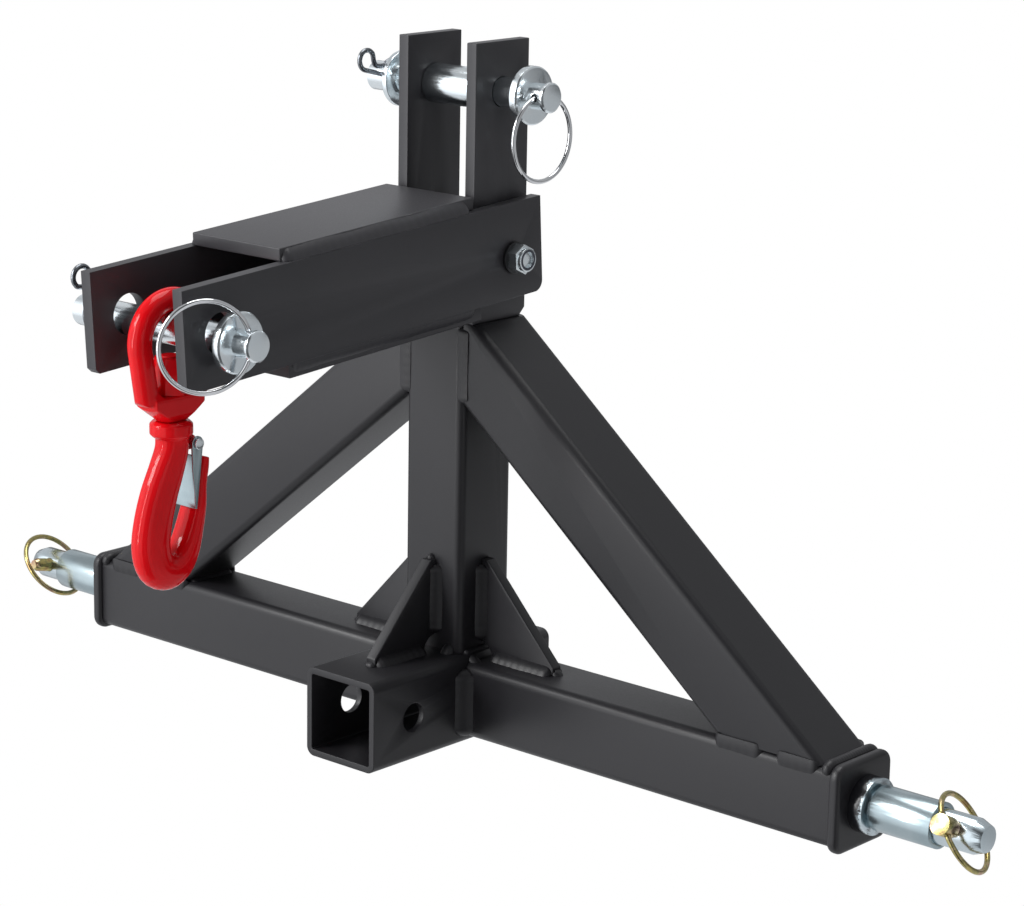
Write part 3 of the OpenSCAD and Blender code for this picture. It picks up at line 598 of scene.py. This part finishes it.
def forge(thing: Piece, voxel_mm: float, smoothing: int) -> None:
    """Blends a copied solid's edges as forging and paint do.

    Args:
        thing: The piece.
        voxel_mm: The size of the grid that its skin is rebuilt on.
        smoothing: Rounds of smoothing.
    """
    settle(thing.modifiers.new("skin", "REMESH"), mode="VOXEL", voxel_size=voxel_mm * MM, use_smooth_shade=True)
    settle(thing.modifiers.new("soft", "SMOOTH"), factor=0.5, iterations=smoothing)


@dataclass
class Workshop:
    """Gives pieces their material and body, and logs them."""

    groups: tuple[Tree, ...]
    materials: dict[str, Material] = field(default_factory=dict)
    made: list[str] = field(default_factory=list)

    def material(self, finish: Finish) -> Material:
        """Gives a finish's material, which is built once."""
        if finish.name not in self.materials:
            self.materials[finish.name] = finish.build(*self.groups)
        return self.materials[finish.name]

    def dress(self, thing: Piece, body: str, finish: Finish, nodes: tuple[str, ...] = ()) -> None:
        """Finishes a new piece.

        Args:
            thing: The piece.
            body: The body that it moves with.
            finish: Its finish.
            nodes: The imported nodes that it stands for.
        """
        thing.data.materials.clear()
        thing.data.materials.append(self.material(finish))
        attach(thing, body)
        if nodes:
            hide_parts(*nodes)
        self.made.append(thing.name)
        log.info("%s rides on %s, %d faces", thing.name, body, len(thing.data.polygons))

    def eased(self, body: str, finish: Finish, width_mm: float, *nodes: str) -> None:
        """Replaces each of a body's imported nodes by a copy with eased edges."""
        for node in nodes:
            thing = node_copy(f"{node}_eased", node)
            ease_edges(thing, width_mm)
            self.dress(thing, body, finish, (node,))

    def swept(self, name: str, skin: Shell, body: str, finish: Finish, *nodes: str) -> None:
        """Makes and finishes a piece of one swept skin."""
        self.dress(make_object(name, *skin), body, finish, nodes)


@dataclass
class FrameWeldment:
    """The welded frame: tubes, plates, gussets and their weld beads. Sizes are in millimetres."""

    shop: Workshop
    leg: float = 5.6
    corner_leg: float = 8.5
    relief: float = 11.0
    start_gap: float = 1.0
    end_gap: float = 3.0
    corner_gap: float = 5.0
    gusset_gap: float = 7.0
    foot_gap: float = 4.0
    tube: float = 50.0
    brace_run: float = 292.0
    brace_rise: float = 235.0
    brace_head: float = 290.0
    ribbon_at: float = 21.5
    ribbon_gap: float = 5.0
    ribbon_end: float = 2.0
    ribbon_sink: float = 0.5
    ribbon_drop: float = 5.5
    ribbon_half: float = 4.5
    ribbon_side: float = 3.6
    inset: float = 19.0
    cap_bead: float = 3.9
    foot_bead: float = 2.6
    toe_bead: float = 2.8
    head_bead: float = 3.4
    cap_corner: float = 5.0
    cap_gap: float = 3.4
    cap_sink: float = 4.2
    plate_ease: float = 0.7
    tube_ease: float = 0.5
    cap_ease: float = 3.2

    def tubes_and_plates(self) -> None:
        """Eases the edges of every tube and plate. The end caps are rounded far more."""
        self.shop.eased("frame", BLACK, self.tube_ease, "receiver_tube", "beam_left", "beam_right", "mast_tube",
                        "brace_left", "brace_right")
        self.shop.eased("frame", BLACK, self.plate_ease, "gusset_front", "gusset_left", "gusset_right")
        # The uprights take the lighter black, which paints on the brighter light that falls on them.
        self.shop.eased("frame", BLACK_WITH_PAINTED_LIGHT, self.plate_ease, "upright_left", "upright_right")
        for node in ("end_cap_left", "end_cap_right"):
            cap = node_copy(f"{node}_rounded", node)
            ease_edges(cap, self.cap_ease, 50.0, 6)
            self.shop.dress(cap, "frame", BLACK, (node,))

    def foot_fillets(self) -> list[tuple]:
        """Places the right side's fillets at the mast's foot, at the gussets and where the beam meets the receiver.

        Returns:
            The start, the stop and the two legs of each fillet.
        """
        leg, corner, relief, near, far = self.leg, self.corner_leg, self.relief, self.start_gap, self.end_gap
        mast_low, mast_high = corners("mast_tube")
        beam_low, beam_high = corners("beam_right")
        front_low, front_high = corners("gusset_front")
        side_low, side_high = corners("gusset_right")
        edge, _, top = corners("receiver_tube")[1]
        half, wall, beam_top, foot_end = front_high[0], mast_low[1], beam_high[2], mast_high[0] - self.foot_gap
        out, up, ahead, behind = (leg, 0, 0), (0, 0, leg), (0, -leg, 0), (0, leg, 0)
        seams = [((half, wall - relief, top), (half, front_low[1] + near, top), out, up),
                 ((half, wall, top + relief), (half, wall, front_high[2] - far), out, ahead),
                 ((half + self.gusset_gap, wall, top), (foot_end, wall, top), ahead, up),
                 ((2 * near, mast_high[1], top), (foot_end, mast_high[1], top), behind, up)]
        for y, side in ((beam_low[1], -corner), (beam_high[1], corner)):
            seams.append(((edge, y, beam_low[2] + near), (edge, y, beam_top - far), (corner, 0, 0), (0, side, 0)))
        for y, side in ((-1, ahead), (1, behind)):
            face, inner, outer = y * half, y * (half + self.gusset_gap + near), y * (beam_high[1] - self.corner_gap)
            seams += [((edge, inner, beam_top), (edge, outer, beam_top), out, (-0.2 * leg, 0, 0.8 * leg)),
                      ((side_low[0] + relief, face, beam_top), (side_high[0] - near, face, beam_top), side, up),
                      ((mast_high[0], face, beam_top + relief), (mast_high[0], face, side_high[2] - far), side, out)]
        toe = ((side_high[0], -half, beam_top), (side_high[0], half, beam_top), (0.7 * leg, 0, 0), (0, 0, 0.6 * leg))
        return seams + [toe]

    def brace_fillets(self) -> list[tuple]:
        """Places the flat ribbons beside the right brace's foot and head, and the fillet inside its foot.

        Returns:
            The start, the stop and the two legs of each fillet.
        """
        low, high = corners("brace_right")
        plate_foot = corners("upright_right")[0][2]
        beam_top = corners("beam_right")[1][2]
        slope = math.atan2(self.brace_rise, self.brace_run)
        inner, head_foot = high[0] - self.tube / math.sin(slope), self.brace_head - self.tube / math.cos(slope)
        middle, level = (inner + high[0]) / 2, beam_top - self.ribbon_sink
        gap, end, side, half = self.ribbon_gap, self.ribbon_end, self.ribbon_side, self.ribbon_half
        seams = []
        for y in (-1, 1):
            root = y * self.ribbon_at
            drop, rise = (0, y * side, -self.ribbon_drop), (0, y * (side + 0.5), side)
            seams += [((inner - end, root, level), (middle - gap, root, level), drop, rise),
                      ((middle + gap, root, level), (high[0] - self.end_gap, root, level), drop, rise),
                      ((low[0], root, head_foot + end), (low[0], root, plate_foot - end), (-half, y * side, 0),
                       (half, y * (side + 0.3), 0))]
        inside = ((inner, -self.inset, beam_top), (inner, self.inset, beam_top), (-self.leg, 0, 0),
                  (0.5 * self.leg, 0, 0.8 * self.leg))
        return seams + [inside]

    def round_seams(self) -> list[tuple[Array, float, tuple]]:
        """Places the rounded beads: over each end cap, beside the mast's foot and at the front gusset's two ends.

        Returns:
            The path, the radius and a vector across the path of each bead.
        """
        cap_x = corners("end_cap_right")[0][0] - self.cap_gap
        beam_top = corners("beam_right")[1][2]
        (_, wall, _), (mast_x, mast_back, _) = corners("mast_tube")
        (left, front, _), (right, _, front_top) = corners("gusset_front")
        top = corners("receiver_tube")[1][2]
        turn = np.linspace(0.0, math.pi / 2, 8)
        rise = np.stack([np.full(8, cap_x), -self.inset - self.cap_corner * np.cos(turn),
                         beam_top - self.cap_sink + self.cap_corner * np.sin(turn)], axis=1)
        ridge = np.concatenate([rise, rise[::-1] * (1, -1, 1)])
        foot = as_array([[mast_x, wall + self.corner_gap, top], [mast_x, mast_back - self.corner_gap, top]])
        upright = (0, 0, 1)
        seams = []
        for s in (-1, 1):
            seams += [(ridge * (s, 1, 1), self.cap_bead, (1, 0, 0)), (foot * (s, 1, 1), self.foot_bead, upright)]
        toe = [[left, front, top], [right, front, top]]
        head = [[left + 1, wall, front_top], [right - 1, wall, front_top]]
        return seams + [(as_array(toe), self.toe_bead, upright), (as_array(head), self.head_bead, upright)]

    def build(self) -> None:
        """Builds the frame and its beads."""
        self.tubes_and_plates()
        right = as_array(self.foot_fillets() + self.brace_fillets()) * MM
        shells = [fillet(*seam, seed) for seed, seam in enumerate(np.concatenate([right * (-1, 1, 1), right]))]
        shells += [weld_bead(path * MM, radius * MM, up, 100 + seed)
                   for seed, (path, radius, up) in enumerate(self.round_seams())]
        self.shop.dress(join_shells("frame_weld_beads", shells), "frame", BEAD, ("frame_welds",))


@dataclass
class LiftingArm:
    """The boxed arm on its bolt. Sizes are in millimetres, in a frame with the bolt as origin, drooped about it."""

    shop: Workshop
    droop: float = 3.7
    bead_front: float = -36.0
    ledges: tuple = ((37.5, 35.5, -199.0, 5.5, 0.2, 7.4), (41.0, -26.5, -198.0, 2.0, 0.0, -6.0))
    thread_gap: float = 0.4
    thread_pitch: float = 1.5
    thread_turns: int = 4
    thread_radius: float = 4.75
    thread_wire: float = 0.42
    insert_bore: float = 5.1
    insert_radius: float = 6.7
    insert_depth: float = 2.0

    def fillets(self) -> list[list[Array]]:
        """Places the fillets along the ledges beside the top plate and the bottom plate.

        A ledge has its X and Z, its rear end, the reach and the lift of one leg, and the rise of the other.

        Returns:
            The start, the stop and the two legs of each fillet, in metres.
        """
        place = Matrix.Translation(joint_place("arm_tilt")) @ turned(self.droop, "X")
        seams = []
        for s in (-1, 1):
            for x, z, back, out, lift, rise in self.ledges:
                start, stop, root, tip_a, tip_b = set_at(place, [
                    (s * x, back, z), (s * x, self.bead_front, z), (s * x, 0.0, z),
                    (s * (x + out), 0.0, z + lift), (s * x, 0.0, z + rise)])
                seams.append([start, stop, tip_a - root, tip_b - root])
        return seams

    def bolt_thread(self) -> Shell:
        """Cuts the thread on the bolt's end inside the nut: a ridge that climbs a helix round the bolt."""
        end = corners("arm_bolt")[1][0] - self.thread_gap
        path = helix((end - self.thread_pitch * self.thread_turns, end), self.thread_radius, self.thread_turns,
                     48 * self.thread_turns, joint_place("arm_tilt"))
        return sweep(path, self.thread_wire * MM, (1, 0, 0), 6)

    def nylon_ring(self) -> Piece:
        """Turns the collar of the lock nut's insert, seen inside its rolled end.

        A point is the nut's end plus its distance along X plus its radius along a direction that goes round.

        Returns:
            The collar.
        """
        bore, radius, depth, turns = self.insert_bore, self.insert_radius, self.insert_depth, 48
        profile = as_array([(bore, -depth), (bore, 0.15), (bore + 0.3, 0.3), (radius - 0.3, 0.3), (radius, 0.1),
                            (radius, -depth), (bore, -depth)])[:, :, None, None] * MM
        angle = np.arange(turns) * TAU / turns
        around = np.stack([np.zeros(turns), -np.cos(angle), -np.sin(angle)], axis=1)
        centre = joint_place("arm_tilt")
        centre.x = corners("arm_bolt_nut")[1][0] * MM
        points = as_array(centre) + profile[:, 1] * (1.0, 0.0, 0.0) + profile[:, 0] * around
        return make_object("arm_nut_insert", points.reshape(-1, 3), sleeve_faces(len(profile), turns), 30.0)

    def build(self) -> None:
        """Builds the arm, its beads and its bolt."""
        # The arm's plates and its beads take the lighter black, which paints on the brighter light of these higher
        # parts.
        self.shop.eased("arm", BLACK_WITH_PAINTED_LIGHT, 0.8, "arm_side_left", "arm_side_right", "arm_top_plate", "arm_bottom_plate")
        shells = [fillet(*seam, 50 + index) for index, seam in enumerate(self.fillets())]
        self.shop.dress(join_shells("arm_weld_beads", shells), "arm", BLACK_WITH_PAINTED_LIGHT, ("arm_welds",))
        for finish, width, node in ((ZINC, 0.4, "arm_bolt"), (ZINC, 0.5, "arm_bolt_nut"),
                                    (WASHER, 0.4, "arm_bolt_washer")):
            self.shop.eased("arm", finish, width, node)
        self.shop.swept("arm_bolt_thread", self.bolt_thread(), "arm", ZINC)
        self.shop.dress(self.nylon_ring(), "arm", NYLON)


@dataclass
class CrossPins:
    """The top link pin and the hook pin, with their rings, clips, sleeve and washers. Sizes are in millimetres."""

    shop: Workshop
    ring_wire: float = 1.5
    ring_radius: float = 27.0
    ring_swing: float = 30.0
    clip_wire: float = 3.2
    clip_loop: float = 16.0
    clip_leg: float = 12.0
    clip_at: float = -62.0
    clip_gap: float = 0.3
    top_clip_turn: float = -14.0
    hook_clip_turn: float = -73.0
    pin_radius: float = 9.525

    def pull_ring(self, name: str, node: str, body: str, normal: tuple) -> None:
        """Makes a pull ring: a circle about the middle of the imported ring's box.

        A point is the middle plus the radius times the cosine of an angle along Z and its sine square to Z.

        Args:
            name: Its name.
            node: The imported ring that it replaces.
            body: The body that it rides on.
            normal: The level unit vector square to its plane.
        """
        low, high = corners(node)
        upright = as_array((0, 0, 1))
        angle = (np.arange(192) * TAU / 192)[:, None]
        circle = upright * np.cos(angle) + np.cross(normal, upright) * np.sin(angle)
        path = ((low + high) / 2 + self.ring_radius * circle) * MM
        self.shop.swept(name, sweep(path, self.ring_wire * MM, normal, 28, closed=True), body, POLISHED, node)

    def clip(self, name: str, place: Matrix, body: str, node: str) -> None:
        """Bends a spring clip: a straight leg through the pin, a loop, and a leg that hugs the pin.

        The loop is an arc of its own radius, the hug an arc about the pin's axis, and a smooth curve runs through
        all their points.

        Args:
            name: Its name.
            place: Where its plane lies, with the pin's axis as origin.
            body: The body that it rides on.
            node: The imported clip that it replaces.
        """
        wire, leg = self.clip_wire, self.clip_leg
        loop = (self.clip_loop - wire) / 2
        over = self.pin_radius + wire / 2 + self.clip_gap
        loop_y = -over - loop - leg * 0.75
        turn = np.radians(np.arange(15, 226, 15))
        hug = np.radians(np.arange(150, 29, -15))
        flat = np.concatenate([
            [[y, 0.0] for y in np.linspace(over + leg + 1, loop_y, 9)],
            np.stack([loop_y - loop * np.sin(turn), loop - loop * np.cos(turn)], axis=1),
            [[loop_y + loop + 2.2, loop - 1.6]],
            np.stack([over * np.cos(hug), over * np.sin(hug)], axis=1),
            [[over * 0.98, wire + 2.2], [over + 0.3 * leg, wire + 1.6], [over + 0.67 * leg, wire + 3.6],
             [over + leg, wire + 7]]])
        path = set_at(place, np.insert(smooth_path(flat, 6), 0, self.clip_at, axis=1))
        self.shop.swept(name, sweep(path, wire / 2 * MM, (1, 0, 0), 20), body, STEEL, node)

    def build(self) -> None:
        """Builds both pins and everything on them."""
        self.shop.eased("top_pin", ZINC, 0.4, "top_link_pin", "top_washer_inner", "top_washer_outer")
        self.shop.eased("hook_pin", ZINC, 0.4, "hook_pin")
        self.shop.eased("top_sleeve", ZINC, 0.4, "top_link_sleeve")
        swing = math.radians(self.ring_swing)
        self.pull_ring("top_pull_ring", "top_pin_ring", "top_ring", (1, 0, 0))
        self.pull_ring("hook_pull_ring", "hook_pin_ring", "hook_ring", (math.cos(swing), -math.sin(swing), 0.0))
        top = Matrix.Translation(joint_place("top_pin_spin")) @ turned(self.top_clip_turn, "X")
        self.clip("top_spring_clip", top, "top_pin", "top_pin_clip")
        hook = Matrix.Translation(joint_place("hook_pin_turn")) @ turned(self.hook_clip_turn, "X")
        self.clip("hook_spring_clip", hook @ Matrix.Scale(-1, 4, (0, 0, 1)), "hook_pin", "hook_pin_clip")


@dataclass
class LiftPins:
    """The two lift pins with their sleeves, linch pins and snap rings. Sizes are in millimetres and degrees."""

    shop: Workshop
    ring_d: float = 53.0
    ring_wire: float = 3.5
    head_d: float = 13.0
    head_at: float = 17.65
    head_bite: float = 1.5
    reach: float = 399.5
    height: float = 30.0
    tilts: tuple[float, float] = (-12.0, -25.0)
    leans: tuple[float, float] = (43.0, 36.0)

    def ring(self, side: str, sign: int, tilt: float, lean: float) -> None:
        """Bends one snap ring: an open circle whose two ends turn into the linch pin's head.

        Args:
            side: Left or right.
            sign: The side's direction along X.
            tilt: The linch pin's turn about the lift pin.
            lean: The ring's turn about the linch pin.
        """
        radius = (self.ring_d - self.ring_wire) / 2
        shut = math.asin((self.head_d / 2 + self.ring_wire * 0.4) / radius)
        bite = self.head_d / 2 - self.head_bite
        a = np.linspace(shut, TAU - shut, 121)
        arc = np.stack([radius * np.sin(a), radius * (math.cos(shut) - np.cos(a))], axis=1)
        flat = smooth_path(np.concatenate([[[bite, 0.0]], arc, [[-bite, 0.0]]]), 3)
        head = Matrix.Translation(Vector((0.0, 0.0, -self.head_at)) * MM) @ turned(-sign * lean, "Z")
        pin = Matrix.Translation(Vector((sign * self.reach, 0.0, self.height)) * MM)
        place = pin @ turned(-sign * 90 + tilt, "X") @ head
        across = tuple(place.to_3x3() @ Vector((1, 0, 0)))
        skin = sweep(set_at(place, np.insert(flat, 0, 0.0, axis=1)), self.ring_wire / 2 * MM, across, 20)
        self.shop.swept(f"snap_ring_{side}", skin, f"linch_ring_{side}", YELLOW, f"linch_ring_{side}")

    def build(self) -> None:
        """Builds both sides."""
        for side, sign, tilt, lean in zip(("left", "right"), (-1, 1), self.tilts, self.leans):
            self.shop.eased("frame", LIFT, 0.4, f"lift_pin_{side}")
            self.shop.eased(f"sleeve_{side}", SATIN, 0.5, f"lift_sleeve_{side}")
            self.shop.eased(f"linch_{side}", YELLOW, 0.8, f"linch_pin_{side}")
            self.ring(side, sign, tilt, lean)


@dataclass
class SwivelHook:
    """The forged eye, the hook below it and its latch. Sizes are in millimetres."""

    shop: Workshop
    voxel: float = 0.55
    coil_wire: float = 0.6
    coil_turns: int = 2

    def latch_coil(self) -> Shell:
        """Winds the latch's spring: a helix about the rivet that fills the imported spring's box."""
        low, high = corners("latch_spring")
        path = helix((low[0] + self.coil_wire, high[0] - self.coil_wire), (high[2] - low[2]) / 2 - self.coil_wire,
                     self.coil_turns, 120, joint_place("latch_open"))
        return sweep(path, self.coil_wire * MM, (1, 0, 0), 12)

    def build(self) -> None:
        """Builds the eye, the hook and the latch."""
        for name, body, node, smoothing in (("forged_eye", "eye", "hook_eye", 7),
                                            ("forged_hook", "hook", "hook_body", 5)):
            thing = node_copy(name, node)
            forge(thing, self.voxel, smoothing)
            self.shop.dress(thing, body, RED, (node,))
        self.shop.eased("hook", RED, 0.8, "swivel_nut")
        self.shop.eased("latch", SATIN, 0.3, "hook_latch")
        self.shop.eased("hook", ZINC, 0.4, "latch_rivet")
        self.shop.swept("latch_coil", self.latch_coil(), "hook", STEEL, "latch_spring")


@dataclass
class Studio:
    """Floor, lamps, world and camera, in degrees and metres. The camera repeats the photograph's own view.

    A region of the room is given by edges: an axis, the share of a direction along it where the region starts, and
    the share where it is full.
    """

    azimuth: float = 41.1142
    elevation: float = 14.0471
    roll: float = 1.0136
    eye: tuple[float, float, float] = (1.357720, -1.502625, 0.694430)
    lens: float = 112.219
    sensor: float = 36.0
    floor_half: float = 12.0
    lamps: tuple = (("key", (-1.3, -2.0, 1.7), (0.0, -0.1, 0.25), (0.9, 0.9), 34.0),
                    ("top", (-0.3, 0.2, 2.6), (0.0, 0.0, 0.2), (1.6, 1.6), 30.0),
                    ("strip", (-0.70, -1.85, 0.45), (0.0, -0.25, 0.25), (0.16, 1.1), 7.0))
    room: float = 0.465
    front: float = 0.90
    left: float = 0.22
    line: float = 0.25
    right: float = 0.92
    below: float = 1.6
    gap: float = 0.12
    front_edges: tuple = (("Y", -0.15, -0.55), ("Z", -0.60, -0.20), ("Z", 0.70, 0.52))
    left_edges: tuple = (("X", -0.25, -0.60), ("Z", 0.05, 0.20), ("Z", 0.62, 0.45))
    line_edges: tuple = (("Y", 0.15, 0.35), ("Z", -0.10, -0.02), ("Z", 0.12, 0.04))
    right_edge: tuple = ("X", 0.1, 0.5)
    below_edge: tuple = ("Z", -0.28, -0.55)
    gap_width: tuple[float, float] = (0.21, 0.09)
    gap_depth: tuple[float, float] = (0.3, 0.6)
    daylight: tuple = (0.955, 0.97, 1.0, 1.0)

    def camera(self) -> None:
        """Places the camera, raised by the elevation, turned round by the azimuth and rolled."""
        data = bpy.data.cameras.new("camera")
        settle(data, lens=self.lens, sensor_width=self.sensor, sensor_fit="HORIZONTAL", clip_end=50.0)
        turn = turned(self.azimuth, "Z") @ turned(90.0 - self.elevation, "X") @ turned(self.roll, "Z")
        thing = link_new("camera", data)
        thing.matrix_world = Matrix.Translation(Vector(self.eye)) @ turn
        bpy.context.scene.camera = thing

    def add_lamps(self) -> None:
        """Adds the soft lamps: each has its place, the point that it looks at, its sides and its power in watts."""
        for name, place, aim, size, power in self.lamps:
            data = bpy.data.lights.new(name, "AREA")
            settle(data, shape="RECTANGLE", size=size[0], size_y=size[1], energy=power)
            turn = (Vector(aim) - Vector(place)).to_track_quat("-Z", "Y").to_euler()
            settle(link_new(name, data), location=place, rotation_euler=turn)

    def glow(self, tree: Tree) -> Socket:
        """Adds nodes that give the room's brightness by direction: a bright front wall in a dim grey room.

        The front wall fades towards the sides, the floor and the ceiling. A thin dark line lies along the horizon
        at the back, the right is dimmer, a dark gap stands at the front right, and the floor is brighter.

        Args:
            tree: The world's tree.

        Returns:
            The socket with the brightness.
        """
        ray = add(tree, "TexCoord", {}).outputs["Generated"]
        split = add(tree, "SeparateXYZ", {"Vector": ray}).outputs
        turn = math.radians(self.azimuth)

        def step(value: Source, low: float, high: float) -> Socket:
            """Rises smoothly from 0 at low to 1 at high."""
            return spread(tree, value, low, high, 0.0, 1.0, "SMOOTHSTEP")

        def dim(last: float, value: Source, low: float = 0.0, high: float = 1.0) -> Socket:
            """Runs smoothly from 1 at low to last at high."""
            return spread(tree, value, low, high, 1.0, last, "SMOOTHSTEP")

        def product(*factors: Socket) -> Socket:
            """Multiplies sockets."""
            total = factors[0]
            for factor in factors[1:]:
                total = compute(tree, "MULTIPLY", total, factor)
            return total

        def region(edges: tuple) -> Socket:
            """Is 1 where a direction is past every edge."""
            return product(*(step(split[axis], low, high) for axis, low, high in edges))

        def along(*axis: float) -> Socket:
            """Gives the share of a direction along an axis."""
            return add(tree, "VectorMath", {0: ray, 1: axis}, operation="DOT_PRODUCT").outputs["Value"]

        across = along(math.cos(turn), math.sin(turn), 0.0)
        ahead = along(math.sin(turn), -math.cos(turn), 0.0)
        gap = product(step(product(across, across), *self.gap_width), step(ahead, *self.gap_depth))
        level = compute(tree, "MULTIPLY_ADD", region(self.front_edges), self.front, self.room)
        level = compute(tree, "MULTIPLY_ADD", region(self.left_edges), self.left, level)
        sides = ((self.right, self.right_edge), (self.below, self.below_edge))
        return product(level, dim(self.line, region(self.line_edges)),
                       *(dim(last, split[axis], low, high) for last, (axis, low, high) in sides), dim(self.gap, gap))

    def world(self) -> None:
        """Lights the scene from all round: pure white where the camera sees it, shaped elsewhere."""
        world = bpy.data.worlds.new("studio")
        bpy.context.scene.world = world
        world.use_nodes = True
        tree = world.node_tree
        room = tree.nodes["Background"]
        feed(tree, room, {"Strength": self.glow(tree), "Color": self.daylight})
        seen = add(tree, "LightPath", {}).outputs["Is Camera Ray"]
        either = pick(tree, seen, room, add(tree, "Background", {"Color": WHITE}))
        feed(tree, tree.nodes["World Output"], {"Surface": either.outputs["Shader"]})

    def floor(self) -> None:
        """Lays a floor that the camera sees as white and that reflections look through."""
        size = self.floor_half
        points = as_array([[-size, -size, 0.0], [size, -size, 0.0], [size, size, 0.0], [-size, size, 0.0]])
        thing = make_object("floor", points, [[0, 1, 2, 3]])
        material = bpy.data.materials.new("white_floor")
        material.use_nodes = True
        tree = material.node_tree
        shader = tree.nodes["Principled BSDF"]
        feed(tree, shader, {"Base Color": (0.7, 0.7, 0.7, 1.0), "Roughness": 0.9})
        rays = add(tree, "LightPath", {}).outputs
        seen = pick(tree, rays["Is Camera Ray"], shader, add(tree, "Emission", {}))
        mirrored = pick(tree, rays["Is Glossy Ray"], seen, add(tree, "BsdfTransparent", {}))
        feed(tree, tree.nodes["Material Output"], {"Surface": mirrored.outputs["Shader"]})
        thing.data.materials.append(material)

    def build(self) -> None:
        """Builds the whole setting."""
        self.camera()
        self.world()
        self.floor()
        self.add_lamps()
        bpy.context.scene.view_settings.view_transform = "Standard"


def main() -> None:
    """Builds the setting and every sub-assembly, in order."""
    logging.basicConfig(level=logging.INFO, format="%(message)s")
    Studio().build()
    shop = Workshop((grain_group(), wear_group(), overspray_group()))
    for part in (FrameWeldment(shop), LiftingArm(shop), CrossPins(shop), LiftPins(shop), SwivelHook(shop)):
        part.build()
    log.info("%d pieces made", len(shop.made))


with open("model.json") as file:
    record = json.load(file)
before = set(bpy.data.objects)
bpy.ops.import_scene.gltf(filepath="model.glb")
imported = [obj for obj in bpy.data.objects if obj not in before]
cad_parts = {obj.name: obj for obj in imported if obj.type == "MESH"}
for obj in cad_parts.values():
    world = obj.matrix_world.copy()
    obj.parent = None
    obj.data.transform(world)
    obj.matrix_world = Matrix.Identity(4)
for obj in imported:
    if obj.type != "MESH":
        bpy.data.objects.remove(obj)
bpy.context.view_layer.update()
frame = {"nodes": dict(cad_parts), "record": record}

if __name__ == "__main__":
    main()
